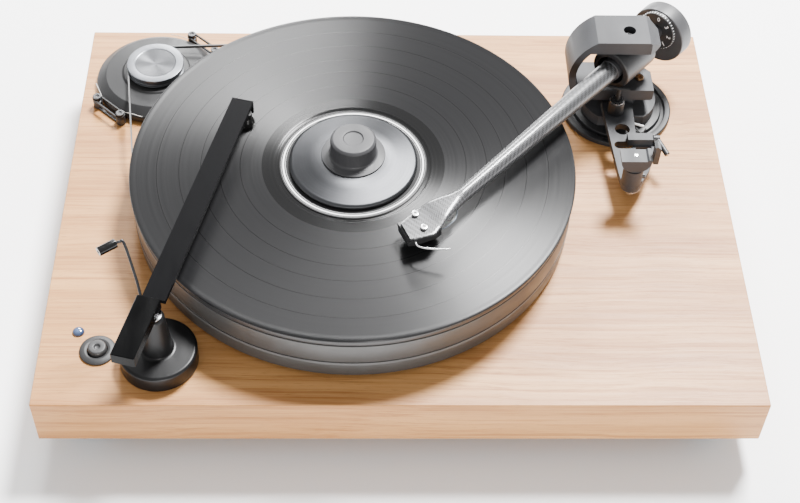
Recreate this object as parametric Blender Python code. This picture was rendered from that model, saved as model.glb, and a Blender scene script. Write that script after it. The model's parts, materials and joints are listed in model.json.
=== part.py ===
"""Belt-drive turntable with a carbon tonearm and a record sweeper, in metres, +Z up.

The origin is on the floor under the middle of the plinth, +X runs to the right and
+Y to the back. Heights over the plinth are counted from deck, its top face.
"""
import math

import bmesh
import bpy
from mathutils import Matrix, Vector

# ---- driving dimensions -------------------------------------------------------------
gap = 0.0003                     # air between pieces that touch
plinth_width = 0.465
plinth_depth = 0.347
plinth_height = 0.038
foot_height = 0.022
foot_radius = 0.021
deck = foot_height + plinth_height

spindle_x, spindle_y = -0.0317, -0.0036
platter_radius = 0.150
platter_bottom = 0.004           # heights over the deck, here and below
platter_top = 0.0346
mat_top = 0.0390
record_radius = 0.1508
record_top = 0.0414
record_face = 0.0411
label_radius = 0.050
clamp_radius = 0.0434
clamp_top = 0.065
belt_low, belt_high = 0.0153, 0.0175

motor_x, motor_y = -0.1785, 0.1175
motor_radius = 0.0445
pulley_radius = 0.0207
pulley_low, pulley_top = 0.0138, 0.0200
bracket_angle = 47               # degrees, direction of the two motor brackets
bracket_spread = 15
bracket_reach = 0.0486

button_x, button_y = -0.1946, -0.1315
lamp_x, lamp_y = -0.2087, -0.1165

pivot_x, pivot_y = 0.1625, 0.092
arm_axis = 0.0516                # height of the tonearm's axis at its bearing
arm_yaw = -131.7                 # direction of the headshell from the pivot
arm_rise = 1.2                   # degrees the tube climbs towards the headshell
collar_radius = 0.0403
bridge_front, bridge_back = 0.078, 0.108
bridge_top, bridge_underside = 0.0773, 0.0670
bridge_floor, bridge_bottom = 0.0324, 0.0230
platform_top, platform_bottom = 0.020, 0.015
rest_x, rest_y = 0.1610, 0.0010

sweeper_x, sweeper_y = -0.1545, -0.1385
sweeper_yaw = 75.5               # direction of the sweeper's arm from its post
sweeper_top = 0.0565
sweeper_length = 0.186


# ---- building blocks ----------------------------------------------------------------
def clear_scene():
    for old in list(bpy.data.objects):
        bpy.data.objects.remove(old, do_unlink=True)


materials = {}


def finish(name, colour, roughness, metallic=0.0):
    """A Principled material, made once for each name."""
    if name not in materials:
        material = bpy.data.materials.new(name)
        material.use_nodes = True
        shader = material.node_tree.nodes["Principled BSDF"]
        shader.inputs["Base Color"].default_value = (*colour, 1.0)
        shader.inputs["Roughness"].default_value = roughness
        shader.inputs["Metallic"].default_value = metallic
        material.diffuse_color = (*colour, 1.0)
        materials[name] = material
    return materials[name]


def wood():
    return finish("oak_veneer", (0.80, 0.60, 0.42), 0.45)


def black_metal():
    return finish("black_metal", (0.05, 0.05, 0.055), 0.4, 0.6)


def grey_metal():
    return finish("grey_anodised", (0.20, 0.21, 0.22), 0.45, 0.8)


def bright_metal():
    return finish("turned_aluminium", (0.80, 0.81, 0.83), 0.3, 1.0)


def steel():
    return finish("polished_steel", (0.70, 0.70, 0.70), 0.2, 1.0)


def brass():
    return finish("brass", (0.78, 0.60, 0.30), 0.3, 1.0)


def vinyl():
    return finish("black_vinyl", (0.06, 0.06, 0.065), 0.35)


def rubber():
    return finish("rubber", (0.10, 0.10, 0.10), 0.8)


def carbon():
    return finish("carbon_fibre", (0.10, 0.10, 0.11), 0.3)


def gloss_black():
    return finish("gloss_black", (0.02, 0.02, 0.022), 0.15)


def place(name, mesh_or_bm, material, at=(0, 0, 0), parent=None, turn=None, smooth=35):
    """Makes the named object of a bmesh or a mesh, and puts it at its place."""
    if isinstance(mesh_or_bm, bmesh.types.BMesh):
        mesh = bpy.data.meshes.new(name)
        bmesh.ops.recalc_face_normals(mesh_or_bm, faces=mesh_or_bm.faces)
        mesh_or_bm.to_mesh(mesh)
        mesh_or_bm.free()
    else:
        mesh = mesh_or_bm
    mesh.materials.clear()
    mesh.materials.append(material)
    mesh.shade_smooth()
    mesh.set_sharp_from_angle(angle=math.radians(smooth))
    item = bpy.data.objects.new(name, mesh)
    bpy.context.scene.collection.objects.link(item)
    item.parent = parent
    item.location = at
    if turn is not None:
        item.rotation_euler = turn
    return item


def axis_point(name, at, parent=None, turn=(0, 0, 0)):
    """An empty on a joint's axis."""
    item = bpy.data.objects.new(name, None)
    item.empty_display_size = 0.02
    bpy.context.scene.collection.objects.link(item)
    item.parent = parent
    item.location = at
    item.rotation_euler = turn
    return item


def turned(outline, steps=48):
    """A (radius, height) outline turned about Z. It may start and end on the axis."""
    bm = bmesh.new()
    ring = [bm.verts.new((radius, 0, height)) for radius, height in outline]
    on_axis = outline[0][0] == 0 and outline[-1][0] == 0
    count = len(ring) - (1 if on_axis else 0)
    edges = [bm.edges.new((ring[i], ring[(i + 1) % len(ring)])) for i in range(count)]
    bmesh.ops.spin(bm, geom=ring + edges, axis=(0, 0, 1), cent=(0, 0, 0),
                   steps=steps, angle=2 * math.pi, use_merge=True)
    bmesh.ops.remove_doubles(bm, verts=bm.verts, dist=1e-6)
    bmesh.ops.dissolve_degenerate(bm, dist=1e-7, edges=bm.edges)
    return bm


def prism(outline, low, high):
    """A flat outline of (x, y) points, extruded from low to high."""
    bm = bmesh.new()
    face = bm.faces.new([bm.verts.new((x, y, low)) for x, y in outline])
    wall = bmesh.ops.extrude_face_region(bm, geom=[face])
    tops = [item for item in wall["geom"] if isinstance(item, bmesh.types.BMVert)]
    bmesh.ops.translate(bm, verts=tops, vec=(0, 0, high - low))
    return bm


def box(low, high):
    return prism([(low[0], low[1]), (high[0], low[1]), (high[0], high[1]),
                  (low[0], high[1])], low[2], high[2])


def bevelled(bm, width, segments=1, angle=30):
    """Bevels every edge sharper than angle."""
    sharp = [edge for edge in bm.edges
             if edge.is_manifold and edge.calc_face_angle() > math.radians(angle)]
    bmesh.ops.bevel(bm, geom=sharp, offset=width, segments=segments,
                    profile=0.5, affect="EDGES", clamp_overlap=True)
    return bm


def arc(centre, radius, start, end, count):
    """Points on a circle, from start to end in degrees."""
    angles = [math.radians(start + (end - start) * i / (count - 1)) for i in range(count)]
    return [(centre[0] + radius * math.cos(a), centre[1] + radius * math.sin(a))
            for a in angles]


def swept(points, radius, sides=10):
    """A round rod along a chain of points, closed at both ends."""
    points = [Vector(point) for point in points]
    bm = bmesh.new()
    rings = []
    side = None
    for i, point in enumerate(points):
        before = points[max(i - 1, 0)]
        after = points[min(i + 1, len(points) - 1)]
        along = (after - before).normalized()
        if side is None:
            side = along.orthogonal().normalized()
        side = (side - along * side.dot(along)).normalized()
        other = along.cross(side)
        rings.append([bm.verts.new(point + radius * (math.cos(a) * side + math.sin(a) * other))
                      for a in (2 * math.pi * k / sides for k in range(sides))])
    bridge_rings(bm, rings)
    return bm


def bridge_rings(bm, rings):
    """Joins rings of equal count into one closed skin with flat ends."""
    for one, two in zip(rings, rings[1:]):
        for k in range(len(one)):
            n = (k + 1) % len(one)
            bm.faces.new((one[k], one[n], two[n], two[k]))
    bm.faces.new(list(reversed(rings[0])))
    bm.faces.new(rings[-1])


def curve_points(corners, steps=6):
    """A smooth chain of points through the given ones."""
    corners = [Vector(corner) for corner in corners]
    ends = [corners[0] * 2 - corners[1]] + corners + [corners[-1] * 2 - corners[-2]]
    chain = []
    for i in range(1, len(ends) - 2):
        a, b, c, d = ends[i - 1:i + 3]
        for k in range(steps):
            t = k / steps
            chain.append(0.5 * ((2 * b) + (c - a) * t + (2 * a - 5 * b + 4 * c - d) * t * t
                                + (3 * b - a - 3 * c + d) * t ** 3))
    chain.append(corners[-1])
    return chain


def settle(item):
    """Applies the modifiers of an object to its mesh."""
    graph = bpy.context.evaluated_depsgraph_get()
    mesh = bpy.data.meshes.new_from_object(item.evaluated_get(graph))
    item.modifiers.clear()
    item.data = mesh


def carve(item, tools, keep="DIFFERENCE", solver="EXACT"):
    """Cuts the tools, given as bmeshes in the world, out of an object."""
    for bm in tools:
        mesh = bpy.data.meshes.new("cutter")
        bmesh.ops.recalc_face_normals(bm, faces=bm.faces)
        bm.to_mesh(mesh)
        bm.free()
        cutter = bpy.data.objects.new("cutter", mesh)
        cutter.hide_render = True
        cutter.display_type = "WIRE"
        bpy.context.scene.collection.objects.link(cutter)
        cut = item.modifiers.new("cut", "BOOLEAN")
        cut.operation = keep
        cut.solver = solver
        cut.object = cutter
        bpy.context.view_layer.update()
        settle(item)
        bpy.data.objects.remove(cutter, do_unlink=True)
    item.data.shade_smooth()
    item.data.set_sharp_from_angle(angle=math.radians(35))


def cut_local(item, bm, keep="DIFFERENCE"):
    """Cuts a bmesh, given in the object's own frame, out of the object."""
    bpy.context.view_layer.update()
    bmesh.ops.transform(bm, matrix=item.matrix_world, verts=bm.verts)
    carve(item, [bm], keep)


def moved(bm, offset=(0, 0, 0), turn=None):
    """The same bmesh, turned and then shifted."""
    matrix = Matrix.Translation(Vector(offset))
    if turn is not None:
        matrix = matrix @ turn
    bmesh.ops.transform(bm, matrix=matrix, verts=bm.verts)
    return bm


def drum(centre, radius, low, high, steps=32):
    """A plain upright cylinder."""
    bm = turned([(0, low), (radius, low), (radius, high), (0, high)], steps)
    return moved(bm, (centre[0], centre[1], 0))


def lying(bm):
    """Turns a piece made along +Z to lie along +X."""
    return moved(bm, turn=Matrix.Rotation(math.pi / 2, 4, "Y"))


# ---- plinth and what it holds -------------------------------------------------------
foot_places = {"front_left": (-0.205, -0.148), "front_right": (0.205, -0.148),
               "rear_left": (-0.205, 0.148), "rear_right": (0.205, 0.148)}
housing_radius = 0.0125
motor_can_radius = 0.029
socket_x, inlet_x, post_x = 0.150, -0.150, 0.182
pocket_depth = 0.022             # of the recesses for the sockets in the rear face
socket_height = foot_height + 0.019


def build_plinth():
    """Veneered slab with holes for what stands in it and pockets in its rear face."""
    half_w, half_d = plinth_width / 2, plinth_depth / 2
    low, under, over = foot_height, foot_height - 0.001, deck + 0.001
    body = bevelled(box((-half_w, -half_d, low), (half_w, half_d, deck)), 0.0006)
    item = place("plinth", body, wood())
    holes = [drum((spindle_x, spindle_y), housing_radius + gap, under, over, 24),
             drum((motor_x, motor_y), motor_can_radius + 0.002, under, over, 28),
             drum((button_x, button_y), 0.0065, under, over, 20),
             drum((lamp_x, lamp_y), 0.0026, under, over, 12),
             box((-0.190, -0.145, under), (-0.128, -0.097, low + 0.012)),
             box((socket_x - 0.022, half_d - pocket_depth, socket_height - 0.012),
                 (post_x + 0.010, half_d + 0.001, socket_height + 0.012)),
             box((inlet_x - 0.010, half_d - pocket_depth, socket_height - 0.008),
                 (inlet_x + 0.010, half_d + 0.001, socket_height + 0.008))]
    for x, y in foot_places.values():
        holes.append(drum((x, y), 0.0031, under, low + 0.020, 12))
    carve(item, holes)


def build_feet():
    """Levelling feet: a cone under a stud that screws up into the plinth."""
    top = foot_height - gap
    outline = [(0, 0), (0.0095, 0), (foot_radius, 0.0150), (foot_radius, top - 0.001),
               (foot_radius - 0.001, top), (0.0028, top), (0.0028, top + 0.018),
               (0, top + 0.018)]
    for where, (x, y) in foot_places.items():
        place("foot_" + where, turned(outline, 16), bright_metal(), (x, y, 0))


def build_supply_board():
    low = foot_height
    board = box((-0.186, -0.142, low + 0.0055), (-0.132, -0.100, low + 0.0115))
    place("control_board", board, finish("circuit_board", (0.05, 0.25, 0.12), 0.5))


def build_rear_sockets():
    """Signal sockets, earth post and supply inlet, sunk in the rear face."""
    floor = plinth_depth / 2 - pocket_depth + gap
    middle = socket_height
    facing_back = Matrix.Rotation(-math.pi / 2, 4, "X")
    plate = box((socket_x - 0.021, floor, middle - 0.011),
                (socket_x + 0.017, floor + 0.002, middle + 0.011))
    item = place("phono_sockets", plate, brass())
    outline = [(0, -0.0005), (0.0048, -0.0005), (0.0048, 0.0160), (0.0034, 0.0160),
               (0.0034, 0.0080), (0, 0.0080)]
    barrels = [moved(turned(outline, 16), (socket_x - 0.002 + side, floor + 0.0015, middle),
                     facing_back) for side in (-0.009, 0.009)]
    carve(item, barrels, "UNION")
    post = [(0, 0), (0.0050, 0), (0.0050, 0.003), (0.0020, 0.004), (0.0020, 0.007),
            (0.0042, 0.008), (0.0042, 0.017), (0, 0.017)]
    place("ground_post", moved(turned(post, 16), (post_x, floor, middle), facing_back), brass())
    inlet = box((inlet_x - 0.007, floor, middle - 0.0065),
                (inlet_x + 0.007, floor + 0.016, middle + 0.0065))
    item = place("power_inlet", inlet, gloss_black())
    hole = turned([(0, 0.006), (0.0032, 0.006), (0.0032, 0.020), (0, 0.020)], 16)
    carve(item, [moved(hole, (inlet_x, floor, middle), facing_back)])


def build_power_button():
    bezel = turned([(0.0064, gap), (0.0117, gap), (0.0117, 0.0014), (0.0085, 0.0024),
                    (0.0064, 0.0018)], 20)
    place("power_bezel", bezel, grey_metal(), (button_x, button_y, deck))
    cap = turned([(0, -0.018), (0.0060, -0.018), (0.0060, 0.0040), (0.0052, 0.0050),
                  (0.0020, 0.0050), (0.0012, 0.0038), (0, 0.0038)], 24)
    place("power_button", cap, grey_metal(), (button_x, button_y, deck))


def build_lamp():
    lens = turned([(0, -0.006), (0.0023, -0.006), (0.0023, gap), (0.0039, gap),
                   (0.0034, 0.0016), (0.0018, 0.0024), (0, 0.0026)], 16)
    place("lamp_lens", lens, finish("blue_lens", (0.25, 0.40, 0.65), 0.15),
          (lamp_x, lamp_y, deck))


# ---- platter, record and clamp ------------------------------------------------------
spin_steps = 56
spindle_radius = 0.0036
bearing_depth = -0.034


def on_spindle(name, outline, steps, material):
    return place(name, turned(outline, steps), material, (spindle_x, spindle_y, deck))


def build_bearing():
    """Brass well with the ball that the spindle turns on."""
    low, bore = bearing_depth, spindle_radius + 0.0003
    well = [(0, low), (housing_radius, low), (housing_radius, gap), (0.0180, gap),
            (0.0180, 0.0020), (bore, 0.0020), (bore, low + 0.001), (0, low + 0.001)]
    on_spindle("bearing_housing", well, 24, brass())
    slices = [math.radians(a) for a in range(-60, 61, 30)]
    centre = low + 0.001 + gap + 0.0018
    ball = [(0.0018 * math.cos(a), centre + 0.0018 * math.sin(a)) for a in slices]
    on_spindle("bearing_ball", [(0, centre - 0.0018)] + ball + [(0, centre + 0.0018)], 12, steel())
    foot = centre + 0.0018 + gap
    shaft = [(0, foot), (spindle_radius, foot), (spindle_radius, 0.0578), (0.0024, 0.0590),
             (0, 0.0590)]
    on_spindle("spindle", shaft, 20, steel())


def build_platter():
    r, bore = platter_radius, spindle_radius + 0.0003
    low, high = platter_bottom, platter_top
    outline = [(bore, low), (r - 0.0005, low), (r - 0.0005, belt_low - 0.0006),
               (r - 0.0012, belt_low - gap), (r - 0.0012, belt_high + gap),
               (r, belt_high + 0.0006), (r, high), (bore, high)]
    on_spindle("platter", outline, spin_steps, grey_metal())
    low, high = platter_top + gap, mat_top
    outline = [(bore, low), (r, low), (r, high - 0.0006), (r - 0.0006, high), (bore, high)]
    on_spindle("platter_mat", outline, spin_steps, vinyl())


def build_record():
    """A twelve-inch record: bead at the rim, groove area, and a sunk label area."""
    r, bore = record_radius, spindle_radius + 0.0002
    low, sunk = mat_top + gap, record_face - 0.0007
    outline = [(bore, low), (r - 0.0010, low), (r, low + 0.0010), (r - 0.0010, record_top),
               (r - 0.0030, record_top), (r - 0.0045, record_face), (0.0530, record_face),
               (0.0520, sunk), (bore, sunk)]
    on_spindle("record", outline, spin_steps, vinyl())
    label = [(bore, sunk + gap), (label_radius, sunk + gap), (label_radius, record_face),
             (bore, record_face)]
    on_spindle("record_label", label, 32, finish("paper_label", (0.12, 0.12, 0.13), 0.7))


def build_clamp():
    """Record clamp: a weighted cone, and a knob with an inlaid cap."""
    r, bore, low = clamp_radius, spindle_radius + 0.0003, record_face + gap
    cone = [(bore, low), (r, low), (r, 0.0442), (r - 0.0012, 0.0450), (0.0300, 0.0470),
            (0.0223, 0.0492), (bore, 0.0492)]
    on_spindle("clamp_body", cone, 40, grey_metal())
    low, high = 0.0492 + gap, clamp_top
    knob = [(0, 0.0600), (bore, 0.0600), (bore, low), (0.0216, low), (0.0216, 0.0504),
            (0.0160, 0.0514), (0.0154, 0.0520), (0.0154, high - 0.0012), (0.0142, high),
            (0.0064, high), (0.0060, high - 0.0010), (0, high - 0.0010)]
    on_spindle("clamp_knob", knob, 28, grey_metal())


# ---- motor and belt -----------------------------------------------------------------
def at_motor(name, outline, steps, material):
    return place(name, turned(outline, steps), material, (motor_x, motor_y, deck))


def build_motor():
    r, can = motor_radius, motor_can_radius
    cover = [(0.0030, 0.0080), (0.0030, 0.0130), (0.0240, 0.0130), (0.0252, 0.0118),
             (0.0372, 0.0112), (0.0440, 0.0062), (r, 0.0050), (r, 0.0018), (0.0300, 0.0018),
             (0.0300, 0.0080)]
    item = at_motor("motor_cover", cover, 36, black_metal())
    carve(item, [drum((spindle_x, spindle_y), platter_radius + 0.0010, deck, deck + 0.02, 72)])
    can_outline = [(0, -0.0330), (can, -0.0330), (can, 0.0074), (0.0030, 0.0074),
                   (0.0030, -0.0080), (0, -0.0080)]
    at_motor("motor_can", can_outline, 28, steel())
    at_motor("motor_shaft", [(0, -0.0070), (0.0014, -0.0070), (0.0014, 0.0177), (0, 0.0177)],
             12, steel())
    r, bore = pulley_radius, 0.0017
    pulley = [(0, 0.0180), (bore, 0.0180), (bore, pulley_low), (r, pulley_low),
              (r + 0.0002, belt_low - 0.0006), (r - 0.0012, belt_low - gap),
              (r - 0.0012, belt_high + gap), (r + 0.0002, belt_high + 0.0006),
              (r, pulley_top), (0.0150, pulley_top), (0.0074, 0.0184), (0, 0.0184)]
    at_motor("pulley", pulley, 28, bright_metal())


def stadium(ends, radius, count=7):
    """The outline of a band around two equal posts."""
    one, two = Vector(ends[0]), Vector(ends[1])
    heading = math.degrees(math.atan2(two.y - one.y, two.x - one.x))
    return (arc(two, radius, heading - 90, heading + 90, count)
            + arc(one, radius, heading + 90, heading + 270, count))


def build_motor_brackets():
    """Two pairs of lugs on the deck, each pair with a rubber band that carries the motor."""
    lug = [(0, gap), (0.0034, gap), (0.0034, 0.0060), (0.0022, 0.0066), (0.0022, 0.0090),
           (0.0030, 0.0092), (0.0030, 0.0104), (0, 0.0104)]
    low, high, wide, thin = 0.0070, 0.0086, 0.0035, 0.0025
    for name, facing in (("front", bracket_angle + 180), ("rear", bracket_angle)):
        at = (motor_x, motor_y, deck)
        ends = arc(at, bracket_reach, facing - bracket_spread,
                   facing + bracket_spread, 2)
        bar = prism(stadium(ends, 0.0022), deck + gap, deck + 0.0015)
        item = place("motor_bracket_" + name, bar, black_metal())
        carve(item, [moved(turned(lug, 12), (x, y, deck)) for x, y in ends], "UNION")
        band = prism(stadium(ends, wide), deck + low, deck + high)
        item = place("motor_band_" + name, band, rubber())
        carve(item, [prism(stadium(ends, thin), deck + low - 0.001, deck + high + 0.001)])


def belt_outline(slack, count=56):
    """The line of a belt around the platter and the pulley, slack outside their grooves."""
    big, small = Vector((spindle_x, spindle_y)), Vector((motor_x, motor_y))
    big_radius = platter_radius - 0.0012 + slack
    small_radius = pulley_radius - 0.0012 + slack
    line = small - big
    heading = math.degrees(math.atan2(line.y, line.x))
    lean = math.degrees(math.acos((big_radius - small_radius) / line.length))
    return (arc(big, big_radius, heading + lean, heading + 360 - lean, count)
            + arc(small, small_radius, heading - lean, heading + lean, count // 4))


def build_belt():
    belt = prism(belt_outline(gap + 0.0010), deck + belt_low, deck + belt_high)
    item = place("belt", belt, rubber())
    carve(item, [prism(belt_outline(gap), deck + belt_low - 0.001, deck + belt_high + 0.001)])


# ---- tonearm base, bridge and rest --------------------------------------------------
def at_pivot(name, outline, steps, material):
    return place(name, turned(outline, steps), material, (pivot_x, pivot_y, deck))


facing_front = Matrix.Rotation(math.pi / 2, 4, "X")


def build_arm_base():
    """Collar on the deck, and the drum with the flat front that stands in it."""
    r = collar_radius
    collar = [(0.0060, gap), (r, gap), (r, 0.0034), (r - 0.0008, 0.0040), (0.0360, 0.0040),
              (0.0356, 0.0016), (0.0330, 0.0016), (0.0324, 0.0046), (0.0060, 0.0046)]
    at_pivot("arm_collar", collar, 44, black_metal())
    drum_outline = [(0, 0.0046 + gap), (0.0275, 0.0046 + gap), (0.0275, 0.0140),
                    (0.0130, 0.0140), (0.0130, bridge_bottom - gap), (0, bridge_bottom - gap)]
    item = at_pivot("arm_pillar", drum_outline, 36, grey_metal())
    carve(item, [box((pivot_x - 0.04, pivot_y - 0.04, deck), (pivot_x + 0.04, 0.070, deck + 0.03))])


def build_bridge():
    """Horseshoe bridge, open to the right, with a bevelled top bar."""
    centre, outer, inner = (0.1577, 0.0460), 0.0362, 0.0310
    top = math.degrees(math.asin((bridge_top - centre[1]) / outer))
    bottom = math.degrees(math.asin((bridge_bottom - centre[1]) / outer))
    hollow_top = math.degrees(math.asin((bridge_underside - centre[1]) / inner))
    hollow_low = math.degrees(math.asin((bridge_floor - centre[1]) / inner))
    outline = arc(centre, outer, 180 - top, 180 - bottom, 14)
    outline += [(0.1835, bridge_bottom), (0.1847, bridge_bottom + 0.0012),
                (0.1847, bridge_floor)]
    outline += arc(centre, inner, 180 - hollow_low, 180 - hollow_top, 12)
    outline += [(0.1815, bridge_underside), (0.1846, bridge_underside + 0.0022),
                (0.1846, 0.0707), (0.1760, bridge_top)]
    slab = prism(outline, 0, bridge_back - bridge_front)
    item = place("arm_bridge", moved(slab, (0, bridge_back, deck), facing_front), grey_metal())
    low, high = deck + bridge_underside - 0.004, deck + bridge_top + 0.001
    cuts = []
    for y, way in ((bridge_front, 1), (bridge_back, -1)):
        cuts.append(prism([(0.1762, y - way * 0.001), (0.1857, y - way * 0.001),
                           (0.1857, y + way * 0.0078)], low, high))
    cuts.append(prism([(0.1847 - 0.0110, bridge_back + 0.001), (0.1857, bridge_back + 0.001),
                       (0.1857, bridge_back - 0.0110)], deck + 0.02, deck + 0.04))
    cuts.append(drum((pivot_x, pivot_y), 0.0043, deck + 0.0705, deck + 0.09, 20))
    cuts.append(drum((pivot_x, pivot_y), 0.0027, deck + 0.06, deck + 0.09, 16))
    carve(item, cuts)
    seat = turned([(0, bridge_floor - 0.001), (0.0060, bridge_floor - 0.001),
                   (0.0060, 0.0345), (0, 0.0363)], 16)
    carve(item, [moved(seat, (pivot_x, pivot_y, deck))], "UNION")
    top_screw = [(0, 0.0669), (0.0023, 0.0685), (0.0023, 0.0708), (0.0040, 0.0708),
                 (0.0040, 0.0728), (0.0016, 0.0728), (0.0016, 0.0716), (0, 0.0716)]
    at_pivot("top_bearing_screw", top_screw, 16, steel())
    screw = [(0, 0), (0.0031, 0), (0.0031, 0.0012), (0.0024, 0.0020), (0.0012, 0.0020),
             (0.0012, 0.0012), (0, 0.0012)]
    place("bridge_screw", turned(screw, 16), brass(), (0.1755, 0.0905, deck + bridge_floor + gap))


def build_platform():
    """Plate for the arm lift and the arm rest, with the leg under its lever."""
    back = pivot_y - 0.0130 - gap
    nose = arc((rest_x, rest_y), 0.0072, 200, 340, 8)
    outline = ([(0.1480, back), (0.1530, 0.0080)] + nose
               + [(0.1745, 0.0100), (0.1835, 0.0340), (0.1835, 0.0415), (0.1695, 0.0415),
                  (0.1706, back)])
    plate = prism(outline, deck + platform_bottom, deck + platform_top)
    item = place("rest_platform", plate, grey_metal())
    window = [(0.1672, 0.0160), (0.1735, 0.0180), (0.1795, 0.0335), (0.1680, 0.0335)]
    key = stadium(((0.1565, 0.0355), (0.1630, 0.0355)), 0.0034)
    carve(item, [drum((0.1605, 0.0511), 0.0053, deck, deck + 0.03, 24),
                 prism(key, deck, deck + 0.03), prism(window, deck, deck + 0.03)])
    post = [(0, platform_top - 0.002), (0.0070, platform_top - 0.002), (0.0070, 0.0340),
            (0, 0.0340)]
    strap = box((0.1622, 0.0352, deck + platform_top - 0.0005), (0.1800, 0.0420, deck + 0.0255))
    carve(item, [moved(turned(post, 20), (rest_x, rest_y, deck)), strap], "UNION")
    bore = moved(lying(drum((0, 0), 0.0015, -0.001, 0.020, 12)),
                 (0.1700, lever_y, deck + lever_height))
    carve(item, [bore])


def build_rest():
    """Cradle for the parked arm, and the hook that locks it."""
    half, depth = 0.0105, 0.0120
    saddle = 0.0450
    outline = (arc((0, saddle - 0.0004), half, 190, 350, 11)
               + [(half, saddle + 0.0012), (half - 0.0022, saddle + 0.0012),
                  (half - 0.0034, saddle), (-half, saddle)])
    cradle = moved(prism(outline, 0, depth), (rest_x, rest_y + depth / 2, deck), facing_front)
    place("rest_cradle", cradle, grey_metal())
    hinge = (rest_x + half + 0.0030, rest_y, deck + saddle - 0.0010)
    hook = [(-0.0018, -0.0040), (0.0018, -0.0040), (0.0020, 0.0100), (-0.0004, 0.0125),
            (-0.0024, 0.0115), (-0.0016, 0.0090)]
    clip = moved(prism(hook, -0.0035, 0.0035), turn=facing_front)
    place("rest_clip", clip, black_metal(), hinge)


lift_x, lift_y = 0.1572, 0.0690
lever_x, lever_y, lever_height = 0.1832, 0.0386, 0.0232


def build_arm_lift():
    """Damped lift: its cylinder, and the bar that raises the tube."""
    top = 0.0440
    cylinder = [(0.0018, platform_top + gap), (0.0057, platform_top + gap), (0.0057, 0.0306),
                (0.0050, 0.0312), (0.0034, 0.0312), (0.0034, 0.0320), (0.0018, 0.0320)]
    place("lift_cylinder", turned(cylinder, 20), black_metal(), (lift_x, lift_y, deck))
    to_bar = Vector((lift_x - pivot_x, lift_y - pivot_y))
    facing = math.degrees(math.atan2(to_bar.y, to_bar.x))
    near, far = to_bar.length - 0.0009, to_bar.length + 0.0017
    centre = (pivot_x - lift_x, pivot_y - lift_y)
    outline = (arc(centre, far, facing - 42, facing + 18, 11)
               + arc(centre, near, facing + 18, facing - 42, 11))
    bar = place("lift_bar", prism(outline, top - 0.0020, top), rubber(), (lift_x, lift_y, deck))
    piston = turned([(0, 0.0215), (0.0014, 0.0215), (0.0014, top - 0.001), (0, top - 0.001)], 12)
    cut_local(bar, piston, "UNION")


def build_cue_lever():
    """Finger lever that turns in the strap and works the lift."""
    hub = lying(turned([(0, -0.0110), (0.0012, -0.0110), (0.0012, -0.0028), (0.0026, -0.0028),
                        (0.0026, 0.0020), (0, 0.0020)], 16))
    at = (lever_x, lever_y, deck + lever_height)
    item = place("cue_lever", hub, grey_metal(), at)
    finger = swept([(0, 0, 0), (0.0018, -0.0040, -0.0006), (0.0062, -0.0130, -0.0026)], 0.0020, 10)
    cut_local(item, finger, "UNION")


# ---- tonearm ------------------------------------------------------------------------
ring_radius = 0.0150
head_sections = [                # right edge, left edge, half height, middle height
    ((0.1830, -0.0050), (0.1830, 0.0049), 0.0049, 0.0),
    ((0.1900, -0.0064), (0.1905, 0.0050), 0.0042, 0.0),
    ((0.1970, -0.0092), (0.1990, 0.0056), 0.0031, 0.0006),
    ((0.2050, -0.0118), (0.2080, 0.0066), 0.0021, 0.0009),
    ((0.2130, -0.0134), (0.2170, 0.0082), 0.0014, 0.0002),
    ((0.2210, -0.0137), (0.2240, 0.0090), 0.0012, 0.0),
    ((0.2265, -0.0137), (0.2305, 0.0052), 0.0012, 0.0),
    ((0.2308, -0.0135), (0.2375, 0.0008), 0.0012, 0.0),
]
cartridge_turn = math.radians(-23.4)
cartridge_at = (0.2222, -0.0049, 0)


def arm_frames():
    """The vertical axis the arm swings about, and the level one it lifts about."""
    swing = axis_point("arm_swing_axis", (pivot_x, pivot_y, deck + arm_axis),
                       turn=(0, 0, math.radians(arm_yaw)))
    lift = axis_point("arm_lift_axis", (0, 0, 0), swing, (0, -math.radians(arm_rise), 0))
    return swing, lift


def build_gimbal(swing):
    """Ring that turns in the bridge, with the two points the tube tilts on."""
    r = ring_radius
    ring = lying(turned([(0.0106, -0.0165), (r, -0.0165), (r, 0.0171), (r - 0.0008, 0.0179),
                         (0.0106, 0.0179)], 36))
    item = place("gimbal_ring", ring, black_metal(), parent=swing)
    for side in (1, -1):
        cone = turned([(0, 0.0083), (0.0010, 0.0092), (0.0010, 0.0112), (0, 0.0112)], 10)
        cone = moved(cone, turn=Matrix.Rotation(-side * math.pi / 2, 4, "X"))
        cut_local(item, cone, "UNION")


def head_ring(bm, right, left, half, middle, sides):
    """One cross section of the arm, from its right edge to its left edge."""
    right, left = Vector((*right, middle)), Vector((*left, middle))
    centre, reach = (left + right) / 2, (right - left) / 2
    power = 0.35 + 0.65 * min(1.0, half / reach.length)
    ring = []
    for k in range(sides):
        c, s = math.cos(2 * math.pi * k / sides), math.sin(2 * math.pi * k / sides)
        across = math.copysign(abs(c) ** power, c)
        up = math.copysign(abs(s) ** power, s)
        ring.append(bm.verts.new(centre + reach * across + Vector((0, 0, half * up))))
    return ring


def build_arm_tube(lift):
    """Carbon tube that narrows forwards and spreads into the flat headshell."""
    bm = bmesh.new()
    plain = [((x, -r), (x, r), r, 0.0) for x, r in
             ((-0.0140, 0.0080), (0.0196, 0.0080), (0.0200, 0.0075), (0.1100, 0.0063))]
    rings = [head_ring(bm, *section, 20) for section in plain + head_sections]
    bridge_rings(bm, rings)
    place("arm_tube", bm, carbon(), parent=lift, smooth=50)


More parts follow.
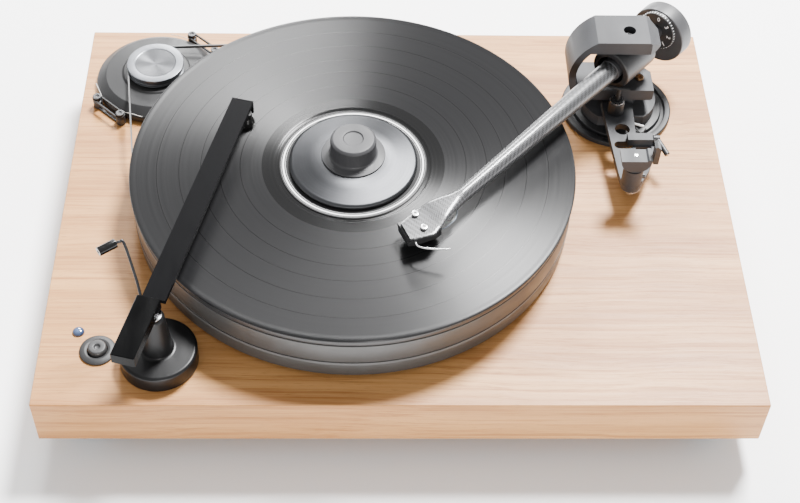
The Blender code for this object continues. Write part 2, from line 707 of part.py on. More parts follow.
def build_cartridge(lift):
    """Cartridge under the headshell, its needle, and the screws that hold it."""
    top = -0.0012 - gap
    side = [(-0.0130, top), (-0.0130, top - 0.0085), (-0.0090, top - 0.0107),
            (0.0060, top - 0.0107), (0.0112, top - 0.0090), (0.0125, top)]
    block = moved(prism(side, -0.0072, 0.0072), turn=facing_front)
    place("cartridge_body", bevelled(block, 0.0005), gloss_black(), cartridge_at, lift,
          (0, 0, cartridge_turn))
    low = record_top + gap - arm_axis - 0.2310 * math.tan(math.radians(arm_rise))
    chain = [(0.0048, 0, top - 0.0107 - gap - 0.0004), (0.0095, 0, low + 0.0006)]
    place("stylus", swept(chain, 0.0004, 8), bright_metal(), cartridge_at, lift,
          (0, 0, cartridge_turn))
    screw = [(0, 0.0012 + gap), (0.0023, 0.0012 + gap), (0.0023, 0.0026), (0.0017, 0.0032),
             (0, 0.0032)]
    for name, side in (("inner", -1), ("outer", 1)):
        x = cartridge_at[0] - side * 0.00635 * math.sin(cartridge_turn)
        y = cartridge_at[1] + side * 0.00635 * math.cos(cartridge_turn)
        place("cartridge_screw_" + name, turned(screw, 16), steel(), (x, y, 0), lift)


def build_leads(lift):
    """Bundle of fine leads from the back of the cartridge up to the tube."""
    chain = curve_points([(0.2090, 0.0010, -0.0060), (0.2052, 0.0056, -0.0066),
                          (0.1990, 0.0060, -0.0056), (0.1935, 0.0025, -0.0052)], 3)
    place("headshell_leads", swept(chain, 0.0007, 6), rubber(), parent=lift)


def build_finger_lift(lift):
    chain = curve_points([(0.2325, 0.0008, -0.0021), (0.2365, 0.0058, -0.0021),
                          (0.2338, 0.0135, -0.0012), (0.2268, 0.0246, 0.0012)], 4)
    place("finger_lift", swept(chain, 0.0006, 8), steel(), parent=lift)


def build_counterweight(lift):
    """Tail stub, the dial that turns on it, and the low-slung counterweight."""
    bore, drop = 0.0052, -0.0060
    stub = lying(turned([(0, -0.0600), (0.0046, -0.0600), (0.0050, -0.0596), (0.0050, -0.0143),
                         (0, -0.0143)], 20))
    place("tail_stub", stub, grey_metal(), parent=lift)
    dial = lying(turned([(bore, -0.0425), (0.0150, -0.0425), (0.0142, -0.0398),
                         (bore, -0.0398)], 36))
    place("weight_dial", dial, black_metal(), parent=lift)
    front, back = -0.0428, -0.0552
    weight = lying(turned([(0, front), (0.0208, front), (0.0216, front - 0.0008),
                           (0.0216, back + 0.0008), (0.0208, back), (0, back)], 32))
    item = place("counterweight", moved(weight, (0, 0, drop)), black_metal(), parent=lift)
    cut_local(item, lying(drum((0, 0), bore, front - 0.02, front + 0.01, 20)))


# ---- sweeper ------------------------------------------------------------------------
def build_sweeper():
    """Record sweeper: post, needle pivot, balanced beam, brush and lifting lever."""
    base = [(0, gap), (0.0245, gap), (0.0251, 0.0010), (0.0246, 0.0122), (0.0238, 0.0130),
            (0.0100, 0.0134), (0.0072, 0.0455), (0.0064, 0.0466), (0, 0.0466)]
    place("sweeper_base", turned(base, 32), gloss_black(), (sweeper_x, sweeper_y, deck))
    swing = axis_point("sweeper_swing_axis", (sweeper_x, sweeper_y, deck + 0.0500),
                       turn=(0, 0, math.radians(sweeper_yaw)))
    pivot = [(0, -0.0031), (0.0062, -0.0031), (0.0062, -0.0022), (0.0013, -0.0020),
             (0.0013, -0.0009), (0, -0.0007)]
    place("sweeper_pivot", turned(pivot, 20), steel(), parent=swing)
    tilt = axis_point("sweeper_tilt_axis", (0, 0, 0), swing)
    block = bevelled(box((-0.0418, -0.0048, -0.0004), (0.0051, 0.0103, 0.0080)), 0.0004)
    place("sweeper_block", block, gloss_black(), parent=tilt)
    low, high = sweeper_top - 0.0500 - 0.0030, sweeper_top - 0.0500
    end, lip = sweeper_length, 0.0100
    side = [(0.0054, low), (end - 0.0018, low), (end - 0.0018, high - lip), (end, high - lip),
            (end, high), (0.0054, high)]
    beam = moved(prism(side, -0.0075, 0.0075), turn=facing_front)
    place("sweeper_arm", beam, gloss_black(), parent=tilt)
    brush = turned([(0, -0.0082), (0.0066, -0.0082), (0.0048, -0.0030), (0.0034, -0.0010),
                    (0.0034, low - gap), (0, low - gap)], 24)
    place("sweeper_brush", brush, gloss_black(), (0.1772, -0.0055, 0), tilt)
    chain = curve_points([(0.0064, 0.0087, 0.0050), (0.0150, 0.0145, 0.0125),
                          (0.0290, 0.0255, 0.0240), (0.0290, 0.0282, 0.0250),
                          (0.0275, 0.0302, 0.0250)], 3)
    place("sweeper_lever", swept(chain, 0.0009, 8), steel(), parent=tilt)
    heading = math.atan2(0.0075, -0.0092)
    grip = lying(turned([(0, 0.0003), (0.0030, 0.0003), (0.0030, 0.0124), (0, 0.0124)], 20))
    place("sweeper_grip", grip, rubber(), (0.0275, 0.0302, 0.0250), tilt, (0, 0, heading))


def centre_box():
    """Shifts everything back, so that the box around it is centred on the origin."""
    bpy.context.view_layer.update()
    block = bpy.data.objects["sweeper_block"]
    front = min((block.matrix_world @ Vector(corner)).y for corner in block.bound_box)
    for item in bpy.context.scene.objects:
        if item.parent is None:
            item.location.y -= (front + plinth_depth / 2) / 2


def main():
    clear_scene()
    build_plinth()
    build_feet()
    build_supply_board()
    build_rear_sockets()
    build_power_button()
    build_lamp()
    build_bearing()
    build_platter()
    build_record()
    build_clamp()
    build_motor()
    build_motor_brackets()
    build_belt()
    build_arm_base()
    build_bridge()
    build_platform()
    build_rest()
    build_arm_lift()
    build_cue_lever()
    swing, lift = arm_frames()
    build_gimbal(swing)
    build_arm_tube(lift)
    build_cartridge(lift)
    build_leads(lift)
    build_finger_lift(lift)
    build_counterweight(lift)
    build_sweeper()
    centre_box()


main()
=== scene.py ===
import json
import math
import random

import bmesh
import bpy
from mathutils import Matrix, Vector


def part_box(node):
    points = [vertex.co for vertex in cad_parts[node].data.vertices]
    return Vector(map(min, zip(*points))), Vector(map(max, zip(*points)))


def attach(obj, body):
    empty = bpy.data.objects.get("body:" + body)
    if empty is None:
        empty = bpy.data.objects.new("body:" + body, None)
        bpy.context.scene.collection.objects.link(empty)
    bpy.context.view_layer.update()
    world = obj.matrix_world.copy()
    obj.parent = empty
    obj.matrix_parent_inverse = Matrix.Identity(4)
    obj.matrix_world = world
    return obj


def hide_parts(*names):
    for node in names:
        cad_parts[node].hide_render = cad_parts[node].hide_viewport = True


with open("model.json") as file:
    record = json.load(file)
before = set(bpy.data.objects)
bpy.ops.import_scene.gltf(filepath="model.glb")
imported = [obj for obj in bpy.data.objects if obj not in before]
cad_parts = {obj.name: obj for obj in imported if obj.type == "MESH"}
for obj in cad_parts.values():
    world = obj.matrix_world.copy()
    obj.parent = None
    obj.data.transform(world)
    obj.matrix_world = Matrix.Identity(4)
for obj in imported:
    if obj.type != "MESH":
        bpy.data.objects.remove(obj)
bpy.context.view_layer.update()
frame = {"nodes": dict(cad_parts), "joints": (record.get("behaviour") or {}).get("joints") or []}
joints = {joint["name"]: joint for joint in frame["joints"]}

# Common places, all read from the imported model.
plinthLow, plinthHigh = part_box("plinth")
deck = plinthHigh.z
middle = (plinthLow + plinthHigh) / 2


def deckUnder(node):
    # The point of the deck under the middle of a node.
    low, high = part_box(node)
    return Vector(((low.x + high.x) / 2, (low.y + high.y) / 2, deck))


spindleAt = deckUnder("spindle")
motorAt = deckUnder("pulley")
pivotAt = Vector(joints["arm_swing"]["pos_m"])
pivotDeck = Vector((pivotAt.x, pivotAt.y, deck))
acrossArm = -Vector(joints["arm_lift"]["axis"]).normalized()
backAxis = Vector(joints["counterweight_slide"]["axis"]).normalized()
sweeperAt = Vector(joints["sweeper_swing"]["pos_m"])
sweeperAlong = Vector((-joints["sweeper_tilt"]["axis"][1], joints["sweeper_tilt"]["axis"][0], 0))
air = 0.0003                                   # gap between pieces that stand on each other
shift = middle.y


def framed(origin, xAxis, yAxis):
    zAxis = xAxis.cross(yAxis)
    matrix = Matrix((xAxis, yAxis, zAxis)).transposed().to_4x4()
    matrix.translation = origin
    return matrix


armFrame = framed(pivotAt, -backAxis, acrossArm)
yokeFrame = framed(pivotAt, Vector((acrossArm.y, -acrossArm.x, 0)), acrossArm)
sweeperFrame = framed(sweeperAt, sweeperAlong, Vector((-sweeperAlong.y, sweeperAlong.x, 0)))


class Look:
    # A Principled material that grows node by node.
    def __init__(self, name, **values):
        self.material = bpy.data.materials.new(name)
        self.material.use_nodes = True
        self.tree = self.material.node_tree
        self.surface = self.tree.nodes["Principled BSDF"]
        self.place = self.add("ShaderNodeTexCoord").outputs["Object"]
        for key, value in values.items():
            self.surface.inputs[key.replace("_", " ")].default_value = value

    def add(self, kind, inputs=None, **settings):
        node = self.tree.nodes.new(kind)
        for key, value in settings.items():
            setattr(node, key, value)
        for key, value in (inputs or {}).items():
            if isinstance(value, bpy.types.NodeSocket):
                self.tree.links.new(value, node.inputs[key])
            else:
                node.inputs[key].default_value = value
        return node

    def math(self, operation, *values):
        return self.add("ShaderNodeMath", dict(enumerate(values)), operation=operation).outputs[0]

    def stretched(self, scale, source=None):
        inputs = {0: source or self.place, 1: scale}
        return self.add("ShaderNodeVectorMath", inputs, operation="MULTIPLY").outputs[0]

    def noise(self, scale, detail=3.0, stretch=(1, 1, 1), roughness=0.5, source=None):
        vector = self.stretched(stretch, source)
        inputs = {"Vector": vector, "Scale": scale, "Detail": detail, "Roughness": roughness}
        return self.add("ShaderNodeTexNoise", inputs).outputs["Fac"]

    def span(self, value, low, high, outLow=0.0, outHigh=1.0):
        inputs = {0: value, 1: low, 2: high, 3: outLow, 4: outHigh}
        return self.add("ShaderNodeMapRange", inputs).outputs[0]

    def mix(self, factor, one, two, blend="MIX"):
        node = self.add("ShaderNodeMix", data_type="RGBA", blend_type=blend)
        for socket, value in ((0, factor), (6, one), (7, two)):
            if isinstance(value, bpy.types.NodeSocket):
                self.tree.links.new(value, node.inputs[socket])
            elif socket == 0:
                node.inputs[socket].default_value = value
            else:
                node.inputs[socket].default_value = (*value[:3], 1.0)
        return node.outputs[2]

    def radius(self, centre):
        inputs = {0: self.place, 1: (centre.x, centre.y, 0)}
        offset = self.add("ShaderNodeVectorMath", inputs, operation="SUBTRACT").outputs[0]
        flat = self.stretched((1, 1, 0), offset)
        return self.add("ShaderNodeVectorMath", {0: flat}, operation="LENGTH").outputs["Value"]

    def tangentAround(self, centre):
        inputs = {0: self.place, 1: tuple(centre)}
        offset = self.add("ShaderNodeVectorMath", inputs, operation="SUBTRACT").outputs[0]
        cross = self.add("ShaderNodeVectorMath", {0: (0, 0, 1), 1: offset},
                         operation="CROSS_PRODUCT").outputs[0]
        unit = self.add("ShaderNodeVectorMath", {0: cross}, operation="NORMALIZE").outputs[0]
        self.feed("Tangent", unit)

    def bump(self, height, strength, distance=0.0002, under=None):
        inputs = {"Height": height, "Strength": strength, "Distance": distance}
        if under is not None:
            inputs["Normal"] = under
        return self.add("ShaderNodeBump", inputs).outputs[0]

    def feed(self, socket, value):
        self.tree.links.new(value, self.surface.inputs[socket])
        return self


def coated(name, colour, roughness, strength=0.35, specular=0.5, wear=0.12):
    # Powder-coated or anodised metal: fine speckle, faint cloudiness, scuffed patches.
    look = Look(name, Specular_IOR_Level=specular)
    speckle = look.noise(2600, 2.0)
    cloud = look.noise(38, 3.0)
    light = [min(1.0, value * (1 + wear * 2)) for value in colour]
    dark = [value * (1 - wear) for value in colour]
    base = look.mix(look.span(cloud, 0.3, 0.7), dark, light)
    base = look.mix(look.span(speckle, 0.35, 0.75, 0.0, 0.30), base, [v * 1.5 for v in colour])
    look.feed("Base Color", base)
    scuff = look.noise(120, 4.0, (1, 0.25, 1))
    look.feed("Roughness", look.span(scuff, 0.3, 0.75, roughness - 0.06, roughness + 0.08))
    look.feed("Normal", look.bump(speckle, strength, 0.00006))
    return look.material


def turnedMetal(name, colour, roughness, centre, anisotropic=0.75, twist=0.25):
    # Lathe-turned metal: rings around the axis that pull the highlight into a fan.
    look = Look(name, Metallic=1.0, Anisotropic=anisotropic, Anisotropic_Rotation=twist)
    height = look.add("ShaderNodeSeparateXYZ", {0: look.place}).outputs[2]
    around = look.add("ShaderNodeCombineXYZ", {0: look.radius(centre), 2: height}).outputs[0]
    rings = look.noise(5200, 1.0, source=around)
    cloud = look.noise(60, 3.0)
    dark = [value * 0.80 for value in colour]
    base = look.mix(look.span(rings, 0.3, 0.7), dark, colour)
    base = look.mix(look.span(cloud, 0.35, 0.7, 0.0, 0.25), base, [v * 0.7 for v in colour])
    look.feed("Base Color", base)
    look.feed("Roughness", look.span(rings, 0.3, 0.7, roughness - 0.05, roughness + 0.08))
    look.feed("Normal", look.bump(rings, 0.25, 0.00005))
    look.tangentAround(centre)
    return look.material


def plastic(name, colour, roughness, coat=0.0, specular=0.5):
    # Moulded plastic: fine texture, slight sheen changes and hairline scratches.
    look = Look(name, Coat_Weight=coat, Specular_IOR_Level=specular)
    grain = look.noise(1800, 2.0)
    scratch = look.noise(700, 2.0, (0.06, 1, 1))
    cloud = look.noise(45, 2.0)
    base = look.mix(look.span(cloud, 0.3, 0.7), [v * 0.85 for v in colour],
                    [min(1.0, v * 1.18) for v in colour])
    look.feed("Base Color", base)
    look.feed("Roughness", look.span(scratch, 0.45, 0.75, roughness, roughness + 0.12))
    look.feed("Normal", look.bump(grain, 0.2, 0.00004))
    return look.material


def plainMetal(name, colour, roughness):
    # Small polished fittings, with fine scratches.
    look = Look(name, Metallic=1.0)
    scratch = look.noise(1500, 3.0, (1, 0.1, 1))
    cloud = look.noise(200, 2.0)
    base = look.mix(look.span(cloud, 0.3, 0.7), [v * 0.82 for v in colour], colour)
    look.feed("Base Color", base)
    look.feed("Roughness", look.span(scratch, 0.4, 0.7, roughness, roughness + 0.15))
    look.feed("Normal", look.bump(scratch, 0.12, 0.00003))
    return look.material


woodTones = {"pale": (0.54, 0.272, 0.092), "tan": (0.28, 0.105, 0.025),
             "fleck": (0.60, 0.36, 0.15), "pore": (0.12, 0.045, 0.012)}


def woodLook():
    # Straight-grained veneer along X, with slow waves, fine streaks and short pores.
    look = Look("oakVeneer", Coat_Weight=0.08, Coat_Roughness=0.4, Specular_IOR_Level=0.3)
    drift = look.noise(1.0, 3.0, (3.2, 7.0, 7.0))
    parts = look.add("ShaderNodeSeparateXYZ", {0: look.place}).outputs
    bent = look.math("ADD", parts[1], look.math("MULTIPLY", drift, 0.024))
    lowered = look.math("ADD", parts[2], look.math("MULTIPLY", drift, 0.02))
    grainSpace = look.add("ShaderNodeCombineXYZ", {0: parts[0], 1: bent, 2: lowered}).outputs[0]
    broad = look.noise(1.0, 4.0, (2.2, 46, 46), 0.62, grainSpace)
    streak = look.noise(1.0, 4.0, (5, 400, 400), 0.65, grainSpace)
    fine = look.noise(1.0, 2.0, (30, 1500, 1500), 0.5, grainSpace)
    pores = look.noise(1.0, 1.0, (120, 2300, 2300), 0.4, grainSpace)
    base = look.mix(look.span(broad, 0.30, 0.72), woodTones["pale"], woodTones["tan"])
    base = look.mix(look.span(streak, 0.49, 0.66, 0.0, 0.9), base, woodTones["tan"])
    base = look.mix(look.span(fine, 0.35, 0.65, 0.0, 0.2), base, woodTones["fleck"])
    base = look.mix(look.span(pores, 0.64, 0.74, 0.0, 0.35), base, woodTones["pore"])
    look.feed("Base Color", base)
    look.feed("Roughness", look.span(streak, 0.3, 0.7, 0.42, 0.56))
    height = look.math("SUBTRACT", look.math("MULTIPLY", fine, 0.5), look.span(pores, 0.62, 0.75))
    look.feed("Normal", look.bump(height, 0.22, 0.00012))
    return look.material


vinylTones = {"grey": (0.008, 0.008, 0.0085), "gap": (0.003, 0.003, 0.003)}
trackGaps = (0.0765, 0.0905, 0.1030, 0.1175, 0.1325)


def vinylLook(centre):
    # Pressed record: fine grooves with a circular sheen, quieter passages and track gaps. The darker
    # colour of the quieter bands, the gaps and the run-out is painted shade.
    look = Look("grooveVinyl", Anisotropic=0.9, Anisotropic_Rotation=0.25,
                Specular_IOR_Level=0.22)
    ring = look.radius(centre)
    line = look.add("ShaderNodeCombineXYZ", {0: ring}).outputs[0]
    bands = look.noise(420, 6.0, source=line, roughness=0.75)
    grooves = look.noise(2600, 1.0, source=line)
    shade = look.span(bands, 0.25, 0.75)
    # Painted shade: the quieter bands are darkened in colour.
    base = look.mix(shade, [v * 0.7 for v in vinylTones["grey"]], vinylTones["grey"])
    inGap = None
    for gapRadius in trackGaps:
        away = look.math("ABSOLUTE", look.math("SUBTRACT", ring, gapRadius))
        near = look.span(away, 0.0001, 0.00035, 1.0, 0.0)
        inGap = near if inGap is None else look.math("MAXIMUM", inGap, near)
    runOut = look.span(ring, 0.0622, 0.0618)
    plain = look.math("MAXIMUM", look.math("MULTIPLY", inGap, 0.8), look.math("MULTIPLY", runOut, 0.7))
    # Painted shade: the smooth track gaps and the run-out are painted darker, on top of their lower
    # roughness.
    look.feed("Base Color", look.mix(plain, base, vinylTones["gap"]))
    smooth = look.span(bands, 0.3, 0.7, 0.30, 0.38)
    look.feed("Roughness", look.math("SUBTRACT", smooth, look.math("MULTIPLY", plain, 0.12)))
    dust = look.noise(900, 2.0)
    under = look.bump(grooves, 0.10, 0.00003)
    look.feed("Normal", look.bump(dust, 0.03, 0.00005, under))
    look.tangentAround(centre)
    return look.material


twill = {"tow": 0.0011, "dark": (0.005, 0.005, 0.0055), "light": (0.07, 0.071, 0.075),
         "gap": (0.008, 0.008, 0.009), "glint": (0.05, 0.05, 0.052)}


def carbonLook():
    # Lacquered two-by-two twill, drawn in the piece's own UV space, one unit a metre. The over tows are
    # painted lighter as painted sheen, and fine fibre streaks are painted glints.
    look = Look("carbonTwill", Coat_Weight=0.45, Coat_Roughness=0.08, Roughness=0.42)
    uv = look.add("ShaderNodeTexCoord").outputs["UV"]
    tow = twill["tow"]
    parts = look.add("ShaderNodeSeparateXYZ", {0: uv}).outputs
    u, v = look.math("DIVIDE", parts[0], tow), look.math("DIVIDE", parts[1], tow)
    step = look.math("ADD", look.math("FLOOR", u), look.math("FLOOR", v))
    phase = look.math("FLOORED_MODULO", step, 4.0)
    over = look.math("LESS_THAN", phase, 1.5)
    towU = look.math("SINE", look.math("MULTIPLY", look.math("FRACT", u), math.pi))
    towV = look.math("SINE", look.math("MULTIPLY", look.math("FRACT", v), math.pi))
    strand = look.math("ADD", look.math("MULTIPLY", over, towU),
                       look.math("MULTIPLY", look.math("SUBTRACT", 1.0, over), towV))
    fibre = look.noise(1.0, 2.0, (9000, 900, 1), source=uv)
    # Painted sheen: the tows running over are painted lighter than the tows running under.
    base = look.mix(over, twill["dark"], twill["light"])
    base = look.mix(look.span(strand, 0.0, 0.8, 0.75, 0.0), base, twill["gap"])
    # Painted highlight: fine fibre streaks are painted in as glints.
    base = look.mix(look.span(fibre, 0.4, 0.7, 0.0, 0.3), base, twill["glint"])
    look.feed("Base Color", base)
    look.feed("Metallic", look.math("MULTIPLY", over, 0.3))
    look.feed("Normal", look.bump(strand, 0.5, 0.00012))
    return look.material


labelPrint = {"paper": ((0.004, 0.004, 0.0045), (0.008, 0.008, 0.0085)),
              "ink": (0.95, 0.95, 0.95),
              "rings": ((0.0469, 0.0479, 0.95), (0.0458, 0.0460, 0.6), (0.0487, 0.0489, 0.4))}


def labelLook(centre):
    # Dark paper label with a printed white ring between two fine ones.
    look = Look("printedLabel", Roughness=0.7, Specular_IOR_Level=0.3)
    ring = look.radius(centre)
    paper = look.noise(1500, 3.0)
    base = look.mix(look.span(paper, 0.3, 0.7), *labelPrint["paper"])
    for low, high, tone in labelPrint["rings"]:
        inside = look.math("MULTIPLY", look.math("GREATER_THAN", ring, low),
                           look.math("LESS_THAN", ring, high))
        base = look.mix(look.math("MULTIPLY", inside, tone), base, labelPrint["ink"])
    look.feed("Base Color", base)
    look.feed("Normal", look.bump(paper, 0.15, 0.00005))
    return look.material


boardTones = {"pad": (0.75, 0.68, 0.45), "mask": (0.03, 0.20, 0.10), "track": (0.02, 0.14, 0.07)}


def boardLook():
    # Green board with pale pads and darker tracks.
    look = Look("circuitBoard", Roughness=0.4)
    cells = look.add("ShaderNodeTexVoronoi", {"Vector": look.place, "Scale": 320.0}).outputs[0]
    tracks = look.noise(260, 2.0)
    base = look.mix(look.span(cells, 0.2, 0.35), boardTones["pad"], boardTones["mask"])
    look.feed("Base Color", look.mix(look.span(tracks, 0.5, 0.6), base, boardTones["track"]))
    look.feed("Normal", look.bump(cells, 0.3, 0.0002))
    return look.material


lensTones = {"core": (0.06, 0.10, 0.20), "rim": (0.012, 0.022, 0.055), "haze": (0.05, 0.08, 0.15)}


def lensLook():
    # Blue lens, paler in the middle as painted light and darker at the rim as painted shade.
    look = Look("blueLens", Roughness=0.12, Coat_Weight=1.0)
    core = look.radius(deckUnder("lamp_lens"))
    haze = look.noise(900, 2.0)
    # Painted light and shade: the middle of the lens is painted pale and its rim dark.
    base = look.mix(look.span(core, 0.0005, 0.0036), lensTones["core"], lensTones["rim"])
    look.feed("Base Color", look.mix(look.span(haze, 0.4, 0.7, 0.0, 0.2), base, lensTones["haze"]))
    look.feed("Normal", look.bump(haze, 0.06, 0.00005))
    return look.material


print("materials ready")


def turned(outline, steps=96, axis="Z"):
    bm = bmesh.new()
    ring = [bm.verts.new((radius, 0, height)) for radius, height in outline]
    endsOnAxis = outline[0][0] == 0 and outline[-1][0] == 0
    count = len(ring) - (1 if endsOnAxis else 0)
    edges = [bm.edges.new((ring[i], ring[(i + 1) % len(ring)])) for i in range(count)]
    bmesh.ops.spin(bm, geom=ring + edges, axis=(0, 0, 1), cent=(0, 0, 0), steps=steps,
                   angle=2 * math.pi, use_merge=True)
    bmesh.ops.remove_doubles(bm, verts=bm.verts, dist=1e-7)
    bmesh.ops.dissolve_degenerate(bm, dist=1e-8, edges=bm.edges)
    if axis == "X":
        bmesh.ops.transform(bm, matrix=Matrix.Rotation(math.pi / 2, 4, "Y"), verts=bm.verts)
    return bm


def rounded(outline, size, steps=3):
    # The same (radius, height) outline with its corners off the axis rounded.
    count = len(outline)
    result = []
    for i, point in enumerate(outline):
        here = Vector(point)
        if here.x == 0:
            result.append(tuple(here))
            continue
        before, after = Vector(outline[i - 1]), Vector(outline[(i + 1) % count])
        toBefore, toAfter = before - here, after - here
        reach = min(size, toBefore.length * 0.45, toAfter.length * 0.45)
        if toBefore.angle(toAfter, math.pi) > math.radians(165) or reach < 1e-6:
            result.append(tuple(here))
            continue
        one, two = here + toBefore.normalized() * reach, here + toAfter.normalized() * reach
        for k in range(steps + 1):
            t = k / steps
            result.append(tuple(one * (1 - t) ** 2 + here * 2 * t * (1 - t) + two * t * t))
    return result


def lathed(shape, axis="Z"):
    # A turned part from its dictionary: a profile with rounded corners.
    outline = rounded(shape["profile"], shape["corner"], shape.get("cornerSteps", 3))
    return turned(outline, shape["steps"], axis)


def prism(outline, low, high):
    bm = bmesh.new()
    face = bm.faces.new([bm.verts.new((x, y, low)) for x, y in outline])
    wall = bmesh.ops.extrude_face_region(bm, geom=[face])
    tops = [item for item in wall["geom"] if isinstance(item, bmesh.types.BMVert)]
    bmesh.ops.translate(bm, verts=tops, vec=(0, 0, high - low))
    return bm


def block(low, high):
    corners = [(low[0], low[1]), (high[0], low[1]), (high[0], high[1]), (low[0], high[1])]
    return prism(corners, low[2], high[2])


def arc(centre, radius, start, end, count):
    angles = [math.radians(start + (end - start) * i / (count - 1)) for i in range(count)]
    return [(centre[0] + radius * math.cos(a), centre[1] + radius * math.sin(a)) for a in angles]


def skinned(bm, rings, closed=True):
    for one, two in zip(rings, rings[1:]):
        for k in range(len(one)):
            n = (k + 1) % len(one)
            bm.faces.new((one[k], one[n], two[n], two[k]))
    if closed:
        bm.faces.new(list(reversed(rings[0])))
        bm.faces.new(rings[-1])


def swept(points, radius, sides=14, shape=None):
    points = [Vector(point) for point in points]
    bm = bmesh.new()
    rings, side = [], None
    for i, point in enumerate(points):
        along = (points[min(i + 1, len(points) - 1)] - points[max(i - 1, 0)]).normalized()
        side = along.orthogonal().normalized() if side is None else side
        side = (side - along * side.dot(along)).normalized()
        other = along.cross(side)
        size = radius * (shape(i / (len(points) - 1)) if shape else 1.0)
        rings.append([bm.verts.new(point + size * (math.cos(a) * side + math.sin(a) * other))
                      for a in (2 * math.pi * k / sides for k in range(sides))])
    skinned(bm, rings)
    return bm


def smoothPath(corners, steps=8):
    corners = [Vector(corner) for corner in corners]
    ends = [corners[0] * 2 - corners[1]] + corners + [corners[-1] * 2 - corners[-2]]
    chain = []
    for i in range(1, len(ends) - 2):
        a, b, c, d = ends[i - 1:i + 3]
        for k in range(steps):
            t = k / steps
            chain.append(0.5 * (2 * b + (c - a) * t + (2 * a - 5 * b + 4 * c - d) * t * t
                                + (3 * b - a - 3 * c + d) * t ** 3))
    return chain + [corners[-1]]


def put(bm, matrix):
    bmesh.ops.transform(bm, matrix=matrix, verts=bm.verts)
    return bm


def moved(bm, offset):
    return put(bm, Matrix.Translation(Vector(offset)))


def upright(bm, offset=(0, 0, 0)):
    # A prism drawn flat, stood up so that it faces the front.
    return put(bm, Matrix.Translation(Vector(offset)) @ Matrix.Rotation(math.pi / 2, 4, "X"))


def merged(*parts):
    whole = bmesh.new()
    for part in parts:
        mesh = bpy.data.meshes.new("part")
        part.to_mesh(mesh)
        part.free()
        whole.from_mesh(mesh)
        bpy.data.meshes.remove(mesh)
    return whole


def tube(centre, radius, low, high, steps=48):
    return moved(turned([(0, low), (radius, low), (radius, high), (0, high)], steps),
                 (centre[0], centre[1], 0))


def cutFrom(bm, tools, keep="DIFFERENCE"):
    # Applies booleans to a bmesh and returns the result as a new one.
    item = bpy.data.objects.new("blank", bpy.data.meshes.new("blank"))
    bmesh.ops.recalc_face_normals(bm, faces=bm.faces)
    bm.to_mesh(item.data)
    bm.free()
    bpy.context.scene.collection.objects.link(item)
    cutters = []
    for tool in tools:
        mesh = bpy.data.meshes.new("cutter")
        bmesh.ops.recalc_face_normals(tool, faces=tool.faces)
        tool.to_mesh(mesh)
        tool.free()
        cutter = bpy.data.objects.new("cutter", mesh)
        bpy.context.scene.collection.objects.link(cutter)
        cutters.append(cutter)
        step = item.modifiers.new("cut", "BOOLEAN")
        step.operation, step.object, step.solver = keep, cutter, "EXACT"
    bpy.context.view_layer.update()
    mesh = bpy.data.meshes.new_from_object(
        item.evaluated_get(bpy.context.evaluated_depsgraph_get()))
    result = bmesh.new()
    result.from_mesh(mesh)
    for old in [item] + cutters:
        bpy.data.objects.remove(old, do_unlink=True)
    bpy.data.meshes.remove(mesh)
    return result


def piece(name, source, material, body, nodes=(), slot=None, bevel=0.0, smooth=32):
    # Turns a bmesh or a mesh into a finished piece. A single node's name also fills the slot, which is
    # not used.
    if isinstance(nodes, str):
        nodes, slot = [nodes], slot or nodes
    if isinstance(source, bmesh.types.BMesh):
        mesh = bpy.data.meshes.new(name)
        bmesh.ops.recalc_face_normals(source, faces=source.faces)
        source.to_mesh(mesh)
        source.free()
    else:
        mesh = source
    mesh.materials.clear()
    mesh.materials.append(material)
    mesh.shade_smooth()
    mesh.set_sharp_from_angle(angle=math.radians(smooth))
    item = bpy.data.objects.new(name, mesh)
    bpy.context.scene.collection.objects.link(item)
    if bevel:
        soften(item, bevel)
    if nodes:
        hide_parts(*nodes)
    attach(item, body)
    return item


def soften(item, width, segments=2):
    edge = item.modifiers.new("softEdge", "BEVEL")
    edge.width, edge.segments, edge.limit_method = width, segments, "ANGLE"
    edge.angle_limit = math.radians(32)
    edge.harden_normals = True


def paint(node, material, bevel=0.0):
    # A CAD node whose shape is right keeps it, and gets its finish here.
    item = frame["nodes"][node]
    item.data.materials.clear()
    item.data.materials.append(material)
    if bevel:
        soften(item, bevel)


def nodeTree(name, inputs):
    # An empty geometry tree with named inputs and one geometry output.
    tree = bpy.data.node_groups.new(name, "GeometryNodeTree")
    tree.interface.new_socket(name="Geometry", in_out="OUTPUT", socket_type="NodeSocketGeometry")
    for label, kind in inputs.items():
        tree.interface.new_socket(name=label, in_out="INPUT", socket_type="NodeSocket" + kind)
    start = tree.nodes.new("NodeGroupInput")
    end = tree.nodes.new("NodeGroupOutput")

    def add(kind, links=None, **settings):
        node = tree.nodes.new("GeometryNode" + kind if not kind.startswith("Function") and
                              not kind.startswith("Shader") else kind)
        for key, value in settings.items():
            setattr(node, key, value)
        for key, value in (links or {}).items():
            if isinstance(value, bpy.types.NodeSocket):
                tree.links.new(value, node.inputs[key])
            else:
                node.inputs[key].default_value = value
        return node
    return tree, start.outputs, end, add


def runTree(tree, values, name):
    # Evaluates the tree once and returns its result as a plain mesh.
    holder = bpy.data.objects.new(name, bpy.data.meshes.new(name))
    bpy.context.scene.collection.objects.link(holder)
    step = holder.modifiers.new("grow", "NODES")
    step.node_group = tree
    for item in tree.interface.items_tree:
        if item.in_out == "INPUT":
            step[item.identifier] = values[item.name]
    bpy.context.view_layer.update()
    graph = bpy.context.evaluated_depsgraph_get()
    mesh = bpy.data.meshes.new_from_object(holder.evaluated_get(graph))
    bpy.data.objects.remove(holder, do_unlink=True)
    return mesh


def onSpindle(bm):
    return moved(bm, spindleAt)


print("tools ready")

